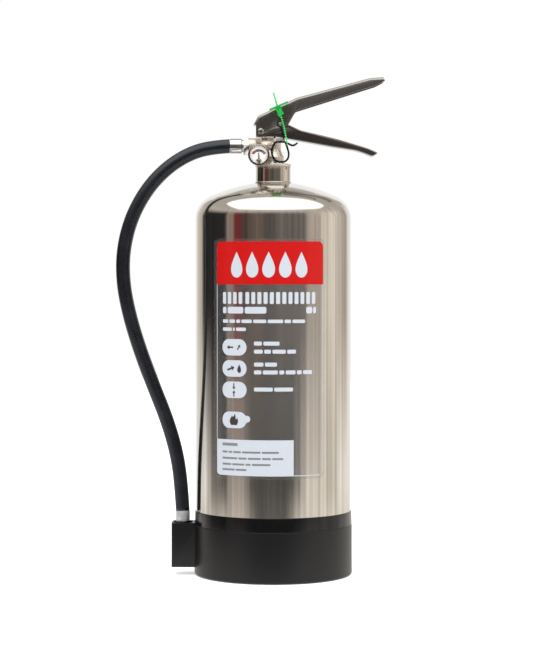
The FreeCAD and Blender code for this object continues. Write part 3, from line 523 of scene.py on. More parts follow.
# ---------------------------------------------------------------- cylinder
@dataclass
class Cylinder:
    """The polished shell, the neck bush and the weld."""

    radius: float = 80 * MM
    knuckle: float = 25 * MM
    crown: float = 150 * MM
    wall: float = 1.2 * MM

    def head_rise(self) -> float:
        """From the centre of the crown to the end of the straight side."""
        return math.sqrt((self.crown - self.knuckle) ** 2 - (self.radius - self.knuckle) ** 2)

    def head(self, side_end: float, up: bool, stop: float, steps: int,
             inset: float) -> list[tuple[float, float]]:
        """Half section of one dome, from the straight side to a radius near the axis.

        Args:
            side_end: height where the straight side ends.
            up: True for the top dome.
            stop: radius where the dome stops.
            steps: stretches in the crown's arc.
            inset: how far inside the outer surface.

        Returns:
            (radius, height) points.
        """
        lean = math.degrees(math.asin((self.radius - self.knuckle) / (self.crown - self.knuckle)))
        knuckle = arc_points((self.radius - self.knuckle, 0), self.knuckle - inset, 0, 90 - lean, 14)
        last = math.degrees(math.asin(stop / (self.crown - inset)))
        crown = arc_points((0, -self.head_rise()), self.crown - inset, 90 - lean, 90 - last, steps)
        sign = 1 if up else -1
        return [(r, side_end + sign * z) for r, z in knuckle + crown[1:]]

    def build(self) -> None:
        """Make the shell, the neck and the weld."""
        low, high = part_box("cylinder_shell")
        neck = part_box("neck_ring")[1][0]
        shoulder = 365.7 * MM
        foot = low[2] + self.crown - self.head_rise()
        outside = list(reversed(self.head(foot, False, 0, 16, 0)))
        outside += [(self.radius, foot + (shoulder - foot) * step / 12) for step in range(1, 12)]
        outside += self.head(shoulder, True, neck, 16, 0)
        inside = list(reversed(self.head(shoulder, True, neck, 16, self.wall)))
        inside += self.head(foot, False, 0, 16, self.wall)
        piece = turned(outside + inside, segments=192, closed=False)
        smooth(piece)
        finish_piece(piece, "polished_cylinder", POLISHED_STEEL, Body.EXTINGUISHER,
                     ["cylinder_shell"])
        self.weld(neck)
        refined("neck_ring", "neck_bush", TURNED_STEEL, Body.EXTINGUISHER, 0.25 * MM)

    def weld(self, neck: float) -> None:
        """A narrow fused bead between the dome and the neck."""
        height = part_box("neck_weld")[0][2] + 0.5 * MM
        beads = arc_points((neck + 0.2 * MM, height), 1.0 * MM, -60, 120, 8)
        piece = turned(beads + [(neck - 0.4 * MM, height)], segments=144)
        ripple = 0.07 * MM
        for vertex in piece.data.vertices:
            if math.hypot(vertex.co.x, vertex.co.y) > neck + 0.1 * MM:
                vertex.co.z += ripple * math.sin(math.atan2(vertex.co.y, vertex.co.x) * 70)
        smooth(piece, 60)
        finish_piece(piece, "neck_weld_bead", TURNED_STEEL, Body.EXTINGUISHER,
                     ["neck_weld"])


@dataclass(frozen=True)
class Field:
    """One printed field: a rectangle with rounded corners, in millimetres round and up the cylinder."""

    left: float
    bottom: float
    right: float
    top: float
    corner: float = 0.0
    rounded: str = "left right bottom top"


@dataclass
class Label:
    """Clear film with printed fields, wrapped round the front of the cylinder.

    Every field is of the builder's own plain shapes: bars stand for lines of print, and drops,
    flames and arrows for pictures.
    """

    radius: float = 80.15 * MM
    ink: float = 0.04 * MM
    film: Field = Field(-67.2, 104.9, 55.3, 344.2, 5.0)
    left: float = -62.7
    right: float = 53.4
    band_top: float = 341.4
    band_bottom: float = 298.7
    bottom: float = 108.1

    def wrap(self, piece: bpy.types.Object, lift: float) -> None:
        """Bend a flat print, drawn in X and Z, round the cylinder.

        Args:
            piece: the flat mesh.
            lift: how far it stands off the film.
        """
        reach = self.radius + lift
        for vertex in piece.data.vertices:
            angle = vertex.co.x / self.radius
            vertex.co.x, vertex.co.y = reach * math.sin(angle), -reach * math.cos(angle)

    def cut_for_bending(self, piece: bpy.types.Object, spacing: float = 2.5 * MM) -> None:
        """Slice a flat print into upright strips narrow enough to follow the curve."""
        work_on(piece)
        xs = [vertex.co.x for vertex in piece.data.vertices]
        bpy.ops.object.mode_set(mode="EDIT")
        for step in range(math.ceil(min(xs) / spacing), math.ceil(max(xs) / spacing)):
            bpy.ops.mesh.select_all(action="SELECT")
            bpy.ops.mesh.bisect(plane_co=(step * spacing, 0, 0), plane_no=(1, 0, 0))
        bpy.ops.object.mode_set(mode="OBJECT")

    def flat_field(self, area: Field) -> bpy.types.Object:
        """A flat rounded rectangle facing the front, as one face.

        Args:
            area: the field.

        Returns:
            The flat object in the XZ plane.
        """
        look_away()
        middle = ((area.left + area.right) / 2 * MM, 0, (area.bottom + area.top) / 2 * MM)
        bpy.ops.mesh.primitive_plane_add(size=1, location=middle, rotation=(math.pi / 2, 0, 0))
        piece = bpy.context.object
        piece.scale = ((area.right - area.left) * MM, (area.top - area.bottom) * MM, 1)
        bpy.context.view_layer.update()
        settle(piece)
        if area.corner:
            self.round_corners(piece, area)
        return piece

    def round_corners(self, piece: bpy.types.Object, area: Field) -> None:
        """Round the corners that lie on two of the sides named in the field."""
        work_on(piece)
        middle_x, middle_z = (area.left + area.right) / 2 * MM, (area.bottom + area.top) / 2 * MM
        bpy.ops.object.mode_set(mode="EDIT")
        bpy.ops.mesh.select_mode(type="VERT")
        bpy.ops.mesh.select_all(action="DESELECT")
        bpy.ops.object.mode_set(mode="OBJECT")
        for vertex in piece.data.vertices:
            sides = ("right" if vertex.co.x > middle_x else "left",
                     "top" if vertex.co.z > middle_z else "bottom")
            vertex.select = all(side in area.rounded for side in sides)
        bpy.ops.object.mode_set(mode="EDIT")
        bpy.ops.mesh.bevel(offset=area.corner * MM, segments=6, affect="VERTICES", clamp_overlap=True)
        bpy.ops.object.mode_set(mode="OBJECT")

    def print_fields(self, name: str, fields: list[Field], finish: Finish, layer: int) -> None:
        """Print several fields in one ink as one piece.

        Args:
            name: the piece's name.
            fields: the fields.
            finish: the ink.
            layer: 1 for the first ink on the film, 2 for an ink on that, and so on.
        """
        flats = [self.flat_field(area) for area in fields]
        self.join_and_wrap(name, flats, finish, layer)

    def join_and_wrap(self, name: str, flats: list[bpy.types.Object], finish: Finish, layer: int) -> None:
        """Join flat shapes, wrap them round the cylinder and give them the ink's thickness."""
        look_away()
        for flat in flats:
            flat.select_set(True)
        bpy.context.view_layer.objects.active = flats[0]
        bpy.ops.object.join()
        piece = bpy.context.object
        self.cut_for_bending(piece)
        self.wrap(piece, layer * self.ink)
        apply_modifier(piece, "SOLIDIFY", thickness=self.ink * 0.9, offset=-1.0)
        smooth(piece)
        finish_piece(piece, name, finish, Body.EXTINGUISHER)

    def shape(self, corners: list[tuple[float, float]]) -> bpy.types.Object:
        """A flat filled shape from its corners, in millimetres.

        Args:
            corners: (across, up) in order, anticlockwise as seen from the front.

        Returns:
            The flat object.
        """
        look_away()
        bpy.ops.mesh.primitive_circle_add(vertices=len(corners), radius=MM, fill_type="NGON",
                                          rotation=(math.pi / 2, 0, 0))
        piece = bpy.context.object
        settle(piece)
        for vertex, (across, up) in zip(piece.data.vertices, corners):
            vertex.co = (across * MM, 0, up * MM)
        return piece

    def drop(self, across: float, up: float, height: float) -> bpy.types.Object:
        """A plain water drop."""
        wide, tall = height * 0.31, height
        corners = []
        for step in range(28):
            angle = 2 * math.pi * step / 28
            pinch = ((1 + math.sin(angle)) / 2) ** 1.6
            corners.append((across + wide * math.cos(angle) * (1 - 0.86 * pinch),
                            up + tall / 2 * math.sin(angle)))
        return self.shape(corners)

    def flame(self, across: float, up: float, height: float) -> bpy.types.Object:
        """A plain pointed flame."""
        outline = [(-0.3, -0.5), (0.3, -0.5), (0.42, -0.2), (0.36, 0.12), (0.2, -0.02), (0.12, 0.5),
                   (-0.08, 0.2), (-0.2, 0.3), (-0.38, 0.02), (-0.42, -0.25)]
        return self.shape([(across + x * height, up + z * height) for x, z in outline])

    def arrow(self, across: float, up: float, length: float, turn: float) -> bpy.types.Object:
        """A plain arrow, turned by some degrees from pointing right."""
        outline = [(-0.5, -0.1), (0.1, -0.1), (0.1, -0.3), (0.5, 0), (0.1, 0.3), (0.1, 0.1), (-0.5, 0.1)]
        cos, sin = math.cos(math.radians(turn)), math.sin(math.radians(turn))
        return self.shape([(across + length * (x * cos - z * sin), up + length * (x * sin + z * cos))
                           for x, z in outline])

    def words(self, left: float, right: float, top: float, height: float, lengths: Iterable[float],
              gap: float) -> list[Field]:
        """Bars of uneven length that stand for the words of one printed line.

        Args:
            left: where the line starts.
            right: where it must end.
            top: upper edge.
            height: height of the bars.
            lengths: relative lengths of the words.
            gap: space between two words.

        Returns:
            One field for each word.
        """
        shares = list(lengths)
        unit = (right - left - gap * (len(shares) - 1)) / sum(shares)
        fields, at = [], left
        for share in shares:
            fields.append(Field(at, top - height, at + share * unit, top, height * 0.28))
            at += share * unit + gap
        return fields

    def build(self) -> None:
        """Lay the film and print it, ink by ink."""
        self.print_fields("label_film_sheet", [self.film], CLEAR_FILM, 0)
        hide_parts("label")
        self.band()
        self.frame_lines()
        self.title_lines()
        self.pictures()
        self.notice()

    def band(self) -> None:
        """Red band along the top with a row of white drops."""
        band = Field(self.left, self.band_bottom, self.right, self.band_top, 5.5, "left right top")
        self.print_fields("red_band", [band], RED_INK, 1)
        drops = [self.drop(-38 + 16.6 * place, 318.2, 25.5) for place in range(5)]
        self.join_and_wrap("band_drops", drops, WHITE_INK, 2)

    def frame_lines(self) -> None:
        """Thin white lines down both sides and along the foot."""
        line = 0.7
        fields = [Field(self.left, self.bottom + 2, self.left + line, self.band_bottom),
                  Field(self.right - line, self.bottom + 4, self.right, self.band_bottom),
                  Field(20.3, self.bottom, self.right - 4, self.bottom + line)]
        self.print_fields("white_frame_lines", fields, WHITE_INK, 1)

    def title_lines(self) -> None:
        """White bars where the type of extinguisher and its use are printed."""
        fields = []
        for left, count in ((-54.4, 4), (-28.4, 12)):
            fields += [Field(left + place * 6.2, 279.3, left + place * 6.2 + 4.0, 291.1, 1.2)
                       for place in range(count)]
        fields += self.words(-54.4, -7.0, 276.4, 6.6, (1, 4, 5), 1.6)
        fields += self.words(33.5, 44.7, 276.4, 6.6, (2, 1), 1.0)
        fields += self.words(-54.4, 32.2, 263.8, 3.4, (3, 3, 2, 5, 6, 7, 3, 6), 1.4)
        fields += self.words(-54.4, -28.0, 255.8, 3.4, (5, 1, 5), 1.4)
        for top, right, lengths in ((242.0, 6.0, (3, 6)), (234.0, 22.6, (4, 3, 6, 4)), (221.2, 3.5, (4, 5)),
                                    (213.4, 40.0, (3, 6, 2, 4, 2, 4)), (196.4, 19.6, (7, 7))):
            fields += self.words(-19.5, right, top, 3.9, lengths, 1.5)
        self.print_fields("white_print_bars", fields, WHITE_INK, 1)

    def pictures(self) -> None:
        """Four white ovals, each with a plain picture."""
        ovals = [Field(-55.1, top - 16.4, -27.2, top, 8.1) for top in (244.3, 223.2, 201.9, 171.9)]
        ovals.append(Field(-30.5, 161.4, -23.4, 168.0, 3.2))
        self.print_fields("picture_ovals", ovals, WHITE_INK, 1)
        middle = -41.2
        inks = [self.arrow(middle - 4.5, 236.1, 7.5, 180), self.arrow(middle + 5.5, 236.1, 6, 60),
                self.drop(middle + 6.0, 214.9, 8.5), self.arrow(middle - 3.5, 214.9, 9, 20),
                self.arrow(middle, 197.2, 6.2, 270), self.arrow(middle, 190.0, 6.2, 90),
                self.flame(middle, 164.3, 11.5)]
        self.join_and_wrap("picture_shapes", inks, DARK_INK, 2)

    def notice(self) -> None:
        """White box at the foot with grey bars."""
        box = Field(self.left, self.bottom, 20.3, 144.0, 4.6, "left bottom")
        self.print_fields("notice_box", [box], WHITE_INK, 1)
        bars = self.words(-55.1, -37.0, 140.6, 2.9, (1,), 1.0)
        for top, right, lengths in ((132.6, 5.5, (3, 2, 4, 9, 8)), (126.4, 9.8, (8, 4, 6, 4, 5)),
                                    (120.4, -3.0, (4, 5, 2, 7)), (115.0, -27.5, (5, 4))):
            bars += self.words(-55.1, right, top, 2.0, lengths, 1.3)
        self.print_fields("notice_bars", bars, GREY_INK, 2)


# ---------------------------------------------------------------- base
@dataclass
class Base:
    """The moulded skirt, its glossy upper band and the nozzle pocket."""

    step: float = 51.5 * MM
    band_foot: float = 81.15 * MM
    band_head: float = 80.6 * MM
    lip: float = 80.02 * MM
    skin: float = 0.12 * MM

    def build(self) -> None:
        """Dress the skirt and lay the glossy band over its upper part."""
        refined("base_skirt", "skirt_moulding", MATT_MOULDING, Body.EXTINGUISHER, 0.35 * MM)
        self.band()

    def band(self) -> None:
        """A skin as thin as paint where the tool was polished, from the step to the top edge."""
        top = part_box("base_skirt")[1][2]
        outside = [(self.band_foot + self.skin, self.step + 0.8 * MM),
                   (self.band_head + 0.15 * MM + self.skin, top - 1.0 * MM),
                   (self.band_head + self.skin, top - 0.3 * MM), (self.band_head - 0.3 * MM, top + self.skin)]
        inside = [(self.lip, top + self.skin), (self.lip, top - 0.5 * MM),
                  (self.band_head - 0.2 * MM, top - 2 * MM)]
        foot = (self.band_foot - 0.15 * MM, self.step + 0.6 * MM)
        piece = turned([foot, *outside, *inside], segments=192)
        smooth(piece)
        finish_piece(piece, "skirt_gloss_band", GLOSS_MOULDING, Body.EXTINGUISHER)


# ---------------------------------------------------------------- hose
@dataclass
class Hose:
    """The discharge hose with its fittings and nozzle."""

    radius: float = 7.25 * MM
    length: float = 0.444
    sides: int = 48
    # The route's points in the plane Y = 0, in millimetres, from the upper to the lower ferrule.
    route_mm: tuple = (
        (-44.7, 440.4), (-65.5, 439.2), (-88.5, 431.8), (-111.0, 417.0), (-131.0, 395.0), (-146.5, 366.0),
        (-154.6, 333.0), (-154.6, 300.0), (-148.2, 267.0), (-138.0, 233.0), (-124.6, 197.0), (-110.4, 161.5),
        (-100.6, 129.5), (-95.2, 97.0), (-93.4, 65.3),
    )

    def centre_line(self) -> list[Vector]:
        """The smooth line through the hose, from a spline with the route's points."""
        curve = bpy.data.curves.new("hose_line", "CURVE")
        curve.dimensions = "3D"
        curve.resolution_u = 24
        spline = curve.splines.new("NURBS")
        spline.points.add(len(self.route_mm) - 1)
        for point, (across, height) in zip(spline.points, self.route_mm):
            point.co = (across * MM, 0, height * MM, 1)
        spline.order_u = 3
        spline.use_endpoint_u = True
        holder = bpy.data.objects.new("hose_line", curve)
        bpy.context.scene.collection.objects.link(holder)
        line = bpy.data.meshes.new_from_object(holder)
        points = [vertex.co.copy() for vertex in line.vertices]
        bpy.data.objects.remove(holder)
        bpy.data.meshes.remove(line)
        return points

    def tube(self, line: list[Vector]) -> bpy.types.Object:
        """Sweep a ring along the line and unwrap it round and along.

        Args:
            line: the centre line's points.

        Returns:
            The closed tube.
        """
        mesh = bmesh.new()
        uv = mesh.loops.layers.uv.new("UVMap")
        girth = 2 * math.pi * self.radius
        rings, travelled, along = [], 0.0, []
        side = Vector((0, 1, 0))
        for place, point in enumerate(line):
            before, after = line[max(place - 1, 0)], line[min(place + 1, len(line) - 1)]
            across = (after - before).normalized().cross(side)
            ring = []
            for step in range(self.sides):
                angle = 2 * math.pi * step / self.sides
                outwards = side * math.cos(angle) + across * math.sin(angle)
                ring.append(mesh.verts.new(point + self.radius * outwards))
            travelled += (point - line[place - 1]).length if place else 0.0
            rings.append(ring)
            along.append(travelled / girth)
        for place in range(len(rings) - 1):
            for step in range(self.sides):
                after = (step + 1) % self.sides
                face = mesh.faces.new((rings[place][step], rings[place][after], rings[place + 1][after],
                                       rings[place + 1][step]))
                corners = ((step, place), (step + 1, place), (step + 1, place + 1), (step, place + 1))
                for loop, (turn, row) in zip(face.loops, corners):
                    loop[uv].uv = (turn / self.sides, along[row])
                face.smooth = True
        mesh.faces.new(rings[0])
        mesh.faces.new(list(reversed(rings[-1])))
        bmesh.ops.recalc_face_normals(mesh, faces=mesh.faces)
        data = bpy.data.meshes.new("discharge_hose")
        mesh.to_mesh(data)
        mesh.free()
        piece = bpy.data.objects.new("discharge_hose", data)
        bpy.context.scene.collection.objects.link(piece)
        return piece

    def build(self) -> None:
        line = self.centre_line()
        piece = finish_piece(self.tube(line), "discharge_hose", HOSE_RUBBER, Body.EXTINGUISHER,
                             ["hose"])
        upper = refined("upper_ferrule", "crimped_ferrule", CHROME, Body.EXTINGUISHER, 0.2 * MM)
        lower = refined("lower_ferrule", "nozzle_ferrule", FERRULE_STEEL, Body.EXTINGUISHER, 0.2 * MM)
        nozzle = refined("nozzle", "nozzle_moulding", NOZZLE_NYLON, Body.EXTINGUISHER, 0.2 * MM)
        refined("hose_nut", "swivel_nut", CHROME, Body.EXTINGUISHER, 0.4 * MM)
        refined("hose_tail", "hose_tail_turned", CHROME, Body.EXTINGUISHER, 0.15 * MM)


# ---------------------------------------------------------------- valve and gauge
@dataclass
class Valve:
    """The valve body with what is screwed into it."""

    def build(self) -> None:
        """Dress the valve and everything inside it."""
        refined("valve_body", "valve_forging", NICKEL_BRASS, Body.EXTINGUISHER, 0.35 * MM)
        refined("port_plug", "port_plug_turned", NICKEL_BRASS, Body.EXTINGUISHER, 0.15 * MM)
        refined("body_screw", "body_screw_turned", NICKEL_BRASS, Body.EXTINGUISHER, 0.12 * MM)
        refined("valve_stem", "valve_stem_turned", DRAWN_STEEL, Body.STEM, 0.1 * MM)
        for node in ("neck_seal", "stem_seal", "valve_disc", "gauge_seal", "hose_washer"):
            dress(node, NITRILE)
        for node in ("dip_tube", "dip_tube_strainer"):
            dress(node, POLYETHYLENE)
        dress("dip_tube_adaptor", BRASS)
        dress("stem_spring", DRAWN_STEEL)


@dataclass
class Gauge:
    """The pressure gauge with its printed dial."""

    band_lift: float = 2.9 * MM
    band_inner: float = 5.9 * MM
    band_outer: float = 8.5 * MM
    print_depth: float = 0.05 * MM
    # Degrees from upright where the good field ends, and where the red fields end.
    good_reach: float = 19
    field_reach: float = 60
    needle_widening: float = 1.7
    # Half section of the hub's cap, in millimetres.
    hub_mm: tuple = ((0, 0), (1.45, 0), (1.5, 0.15), (1.2, 0.5), (0.6, 0.62), (0, 0.66))
    hub_sink: float = 0.35 * MM

    def build(self) -> None:
        """Dress case, bezel, window, dial and needle."""
        # Cup and bezel take the darker nickel, which paints in shade.
        refined("gauge_case", "gauge_cup", SHADED_NICKEL, Body.EXTINGUISHER, 0.2 * MM)
        refined("gauge_bezel", "gauge_bezel_ring", SHADED_NICKEL, Body.EXTINGUISHER, 0.15 * MM)
        refined("gauge_window", "gauge_glass", CLEAR_WINDOW, Body.EXTINGUISHER)
        refined("gauge_dial", "gauge_dial_plate", DIAL_WHITE, Body.EXTINGUISHER)
        needle = refined("gauge_needle", "gauge_pointer", NEEDLE_BLACK, Body.NEEDLE)
        middle = self.pivot().x
        for vertex in needle.data.vertices:
            vertex.co.x = middle + (vertex.co.x - middle) * self.needle_widening
        self.hub()
        good, last = self.good_reach, self.field_reach
        for name, start, end, finish in (("dial_low_field", -last, -good, DIAL_RED),
                                         ("dial_good_field", -good, good, DIAL_GREEN),
                                         ("dial_high_field", good, last, DIAL_RED)):
            self.arc(name, start, end, finish)

    def pivot(self) -> Vector:
        """Where the needle turns, on the face of the dial."""
        hinge = next(joint for joint in frame["joints"] if joint["name"] == "needle_hinge")
        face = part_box("gauge_dial")[0][1]
        return Vector((hinge["pos_m"][0], face, hinge["pos_m"][2]))

    def arc(self, name: str, start: float, end: float, finish: Finish) -> None:
        """A printed field between two angles from upright, in degrees.

        Args:
            name: the piece's name.
            start: first angle.
            end: last angle.
            finish: the ink.
        """
        look_away()
        steps = 12
        bpy.ops.mesh.primitive_circle_add(vertices=2 * (steps + 1), radius=MM, fill_type="NGON",
                                          rotation=(math.pi / 2, 0, 0))
        piece = bpy.context.object
        settle(piece)
        pivot = self.pivot() + Vector((0, 0, self.band_lift))
        angles = [math.radians(start + (end - start) * step / steps) for step in range(steps + 1)]
        outline = [(self.band_inner, a) for a in angles] + [(self.band_outer, a) for a in reversed(angles)]
        for vertex, (reach, angle) in zip(piece.data.vertices, outline):
            vertex.co = pivot + Vector((reach * math.sin(angle), -self.print_depth, reach * math.cos(angle)))
        apply_modifier(piece, "SOLIDIFY", thickness=self.print_depth * 0.8, offset=-1.0)
        tidy_mesh(piece)
        finish_piece(piece, name, finish, Body.EXTINGUISHER)

    def hub(self) -> None:
        """Brass cap over the needle's pivot."""
        profile = [(radius * MM, height * MM) for radius, height in self.hub_mm]
        piece = turned(profile, segments=32, closed=False)
        smooth(piece, 40)
        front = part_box("gauge_needle")[0][1]
        pivot = self.pivot()
        settle(piece, Matrix.Translation((pivot.x, front + self.hub_sink, pivot.z)) @ Facing.FRONT.value)
        finish_piece(piece, "needle_hub_cap", NEEDLE_HUB, Body.NEEDLE)


# ---------------------------------------------------------------- handles, pin and seal
@dataclass
class Handles:
    """Both handles and the rivet they share."""

    def build(self) -> None:
        """Dress the handles and rivets."""
        refined("squeeze_lever", "squeeze_lever_pressing", SATIN_STEEL, Body.LEVER, 0.2 * MM)
        # The carry handle's darker colour is a painted reflection of the dark room.
        refined("carry_handle", "carry_handle_pressing", REFLECTION_DARKENED_STEEL, Body.EXTINGUISHER, 0.2 * MM)
        refined("pivot_rivet", "pivot_rivet_headed", ZINC_STEEL, Body.EXTINGUISHER, 0.2 * MM)
        refined("handle_cross_pin", "handle_cross_pin_plain", ZINC_STEEL, Body.EXTINGUISHER, 0.1 * MM)


@dataclass
class Pin:
    """The safety pin, its pull ring and the pull-tight seal."""

    seal_origin: Point = (0.2 * MM, -15.2 * MM, 494.0 * MM)
    seal_tilt: float = 15.5
    bead: float = 0.95 * MM
    spacing: float = 2.35 * MM
    # Between the beads the tail and the strap are this share of their CAD width.
    slim: float = 0.55
    tail_beads: int = 6
    tail_foot: float = -13.1 * MM
    strap_head: float = -25.4 * MM
    strap_foot: float = -56 * MM
    # The strap hangs this far to the side, and leans back below its bend.
    strap_side: float = 0.95 * MM
    strap_bend: float = -38 * MM
    strap_lean: float = 0.09
    # The eye of the pull ring: its bore, its outside, and the share of its width that shows.
    bore: float = 1.75 * MM
    eye: float = 2.7 * MM
    lip: float = 0.45

    def build(self) -> None:
        """Dress the pin and the ring, and bead the seal."""
        refined("safety_pin", "safety_pin_drawn", DRAWN_STEEL, Body.PIN, 0.2 * MM)
        self.thin_the_eye(refined("pull_ring", "pull_ring_moulding", NYLON, Body.PIN, 0.5 * MM))
        self.seal()
        self.beads()

    def thin_the_eye(self, ring: bpy.types.Object) -> None:
        """Narrow the ring's eye to a thin lip round the pin.

        Args:
            ring: the pull ring's copy.
        """
        low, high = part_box("safety_pin")
        across, height = (low[0] + high[0]) / 2, (low[2] + high[2]) / 2
        for vertex in ring.data.vertices:
            away = Vector((vertex.co.x - across, vertex.co.z - height))
            if self.bore < away.length < self.eye:
                away = away.normalized() * (self.bore + (away.length - self.bore) * self.lip)
                vertex.co.x, vertex.co.z = across + away.x, height + away.y

    def frame_of_seal(self) -> Matrix:
        """From the seal's own upright axes to the frame."""
        return Matrix.Translation(self.seal_origin) @ Matrix.Rotation(math.radians(-self.seal_tilt), 4, "Y")

    def strap_centre(self, height: float) -> float:
        """Middle of the strap across, at a height in the seal's own axes, in metres."""
        return self.strap_side - max(self.strap_bend - height, 0.0) * self.strap_lean

    def seal(self) -> None:
        """Slim the tail and the strap between their beads."""
        own = self.frame_of_seal()
        away = own.inverted()
        piece = refined("tamper_seal", "tamper_seal_moulding", SEAL_GREEN, Body.PIN, 0.12 * MM)
        for vertex in piece.data.vertices:
            place = away @ vertex.co
            on_tail = place.z > self.tail_foot and max(abs(place.x), abs(place.y)) < 1 * MM
            if on_tail or place.z < self.strap_head:
                middle = 0.0 if on_tail else self.strap_centre(place.z)
                slimmed = (middle + (place.x - middle) * self.slim, place.y * self.slim, place.z)
                vertex.co = own @ Vector(slimmed)

    def beads(self) -> None:
        """Round teeth along the tail and the strap."""
        places = [(0.0, -0.9 * MM - step * self.spacing) for step in range(self.tail_beads)]
        height = self.strap_head - 1.2 * MM
        while height > self.strap_foot:
            places.append((self.strap_centre(height), height))
            height -= self.spacing
        own = self.frame_of_seal()
        made = []
        for across, height in places:
            look_away()
            bpy.ops.mesh.primitive_uv_sphere_add(segments=14, ring_count=8, radius=self.bead,
                                                 location=own @ Vector((across, 0, height)))
            made.append(bpy.context.object)
        look_away()
        for bead in made:
            bead.select_set(True)
        bpy.context.view_layer.objects.active = made[0]
        bpy.ops.object.join()
        piece = bpy.context.object
        settle(piece)
        smooth(piece, 60)
        # The beads take a paler green, painted highlight on the same seal plastic.
        finish_piece(piece, "tamper_seal_beads", SEAL_PAINTED_HIGHLIGHT, Body.PIN)


# ---------------------------------------------------------------- studio
@dataclass(frozen=True)
class Sight:
    """One even stretch of the mirrored room, between two azimuths from the camera's side towards +X."""

    name: str
    start: float
    end: float
    tone: str


@dataclass
class Studio:
    """White sweep, soft light, the camera and the dark room that the polished steel mirrors."""

    camera_at: Point = (-0.0069, -2.06, 0.305)
    drop_degrees: float = 1.66
    lens_mm: float = 107.14
    wall_radius: float = 0.95
    wall_reach: float = 150.0
    wall_low: float = -0.3
    wall_high: float = 0.95
    upper_wall: str = "C4BDB5"
    floor_size: float = 8.0
    floor_glow: float = 0.45
    ceiling_radius: float = 2.6
    ceiling_height: float = 1.95
    # Each soft box: name, width and depth, watts, place, and the point that it faces.
    boxes: tuple = (
        ("top_box", (3.7, 4.4), 47.0, (0.25, -0.45, 1.7), (0.25, 0, 0.3)),
        ("right_box", (1.0, 1.0), 3.0, (1.5, -0.9, 0.8), (0, 0, 0.25)),
        ("left_box", (1.0, 1.0), 2.0, (-1.5, -0.7, 0.8), (0, 0, 0.25)),
    )
    # What stands round the room at the height of the shell, from left to right.
    upper_sights: tuple = (
        Sight("window", -150, -150, "F0EEEA"), Sight("window post", -130, -127, "C2BAAB"),
        Sight("doorway", -121, -73, "2D2B2D"), Sight("door frame", -68, -61, "988A80"),
        Sight("red panel", -56, -49, "753434"), Sight("dark cabinet", -43, -40, "4D3F3D"),
        Sight("wooden shelf", -32, -16, "6C5F56"), Sight("shelf side", -8, -4, "534E4D"),
        Sight("grey wall", 9, 45, "746E69"), Sight("pale wall", 51, 62, "C2B7AC"),
        Sight("white screen", 86, 106, "E7DFD3"), Sight("screen stand", 124, 132, "B2A89E"),
        Sight("window on the right", 143, 143, "F7F5F2"),
    )
    # What stands low down, in front of the skirting.
    lower_sights: tuple = (
        Sight("white sweep on the left", -150, -114, "FBF8F4"), Sight("low trolley", -98, -87, "817A74"),
        Sight("trolley wheel", -76, -71, "504F4F"), Sight("pale box", -66, -46, "B0A79F"),
        Sight("dark carpet", -30, 26, "504E4B"), Sight("carpet edge", 33, 36, "848280"),
        Sight("white sweep in front", 49, 68, "F0E8DD"), Sight("soft shadow", 88, 98, "D3CCC1"),
        Sight("white sweep on the right", 109, 150, "FFFAF2"),
    )
    # The floor close to the object.
    floor_sights: tuple = (
        Sight("lit floor on the left", -150, -44, "E2DBD1"),
        Sight("shadow before the camera", -22, 17, "6F6E6C"),
        Sight("lit floor on the right", 34, 150, "F2EBE1"),
    )

    def build(self) -> None:
        """Set up world, floor, lights, mirrored surroundings and camera."""
        scene = bpy.context.scene
        scene.view_settings.view_transform = "Standard"
        self.world()
        self.floor()
        self.lights()
        self.surroundings()
        self.camera()

    def world(self) -> None:
        """Even white all round."""
        world = bpy.data.worlds.new("white_room")
        bpy.context.scene.world = world
        world.use_nodes = True
        background = world.node_tree.nodes["Background"]
        background.inputs["Color"].default_value = (1, 1, 1, 1)
        background.inputs["Strength"].default_value = 1.0

    def floor(self) -> None:
        """Large white floor that glows just enough to keep its far edge unseen."""
        look_away()
        bpy.ops.mesh.primitive_plane_add(size=self.floor_size, location=(0, 0, -0.2 * MM))
        floor = bpy.context.object
        floor.name = "studio_floor"
        paint = bpy.data.materials.new("white_floor_paint")
        paint.use_nodes = True
        shader = paint.node_tree.nodes["Principled BSDF"]
        shader.inputs["Base Color"].default_value = linear("F0F0F0")
        shader.inputs["Roughness"].default_value = 1.0
        shader.inputs["Specular IOR Level"].default_value = 0.0
        shader.inputs["Emission Color"].default_value = (1, 1, 1, 1)
        shader.inputs["Emission Strength"].default_value = self.floor_glow
        floor.data.materials.append(paint)
        floor.visible_glossy = False

    def lights(self) -> None:
        """A large round soft box above and a weak one at each side."""
        for name, size, energy, at, towards in self.boxes:
            data = bpy.data.lights.new(name, "AREA")
            data.shape = "ELLIPSE"
            data.size, data.size_y = size
            data.energy = energy
            light = bpy.data.objects.new(name, data)
            bpy.context.scene.collection.objects.link(light)
            light.location = at
            light.rotation_euler = (Vector(towards) - Vector(at)).to_track_quat("-Z", "Y").to_euler()
            light.visible_glossy = name == "top_box"

    def reflections_only(self, piece: bpy.types.Object) -> None:
        """Show a stage object to glossy rays only."""
        piece.visible_camera = False
        piece.visible_diffuse = False
        piece.visible_shadow = False
        piece.visible_transmission = False

    def surroundings(self) -> None:
        """The room that the polished steel mirrors: walls all round but behind, and a grey ceiling."""
        self.walls()
        look_away()
        bpy.ops.mesh.primitive_circle_add(vertices=64, radius=self.ceiling_radius, fill_type="NGON",
                                          location=(0, 0, self.ceiling_height))
        ceiling = bpy.context.object
        ceiling.name = "room_ceiling"
        paint = bpy.data.materials.new("ceiling_paint")
        paint.use_nodes = True
        paint.node_tree.nodes.clear()
        glow = add_node(paint.node_tree, "ShaderNodeEmission", {"Color": linear("C9C3BB"), "Strength": 0.85})
        add_node(paint.node_tree, "ShaderNodeOutputMaterial", links={"Surface": glow.outputs[0]})
        ceiling.data.materials.append(paint)
        self.reflections_only(ceiling)

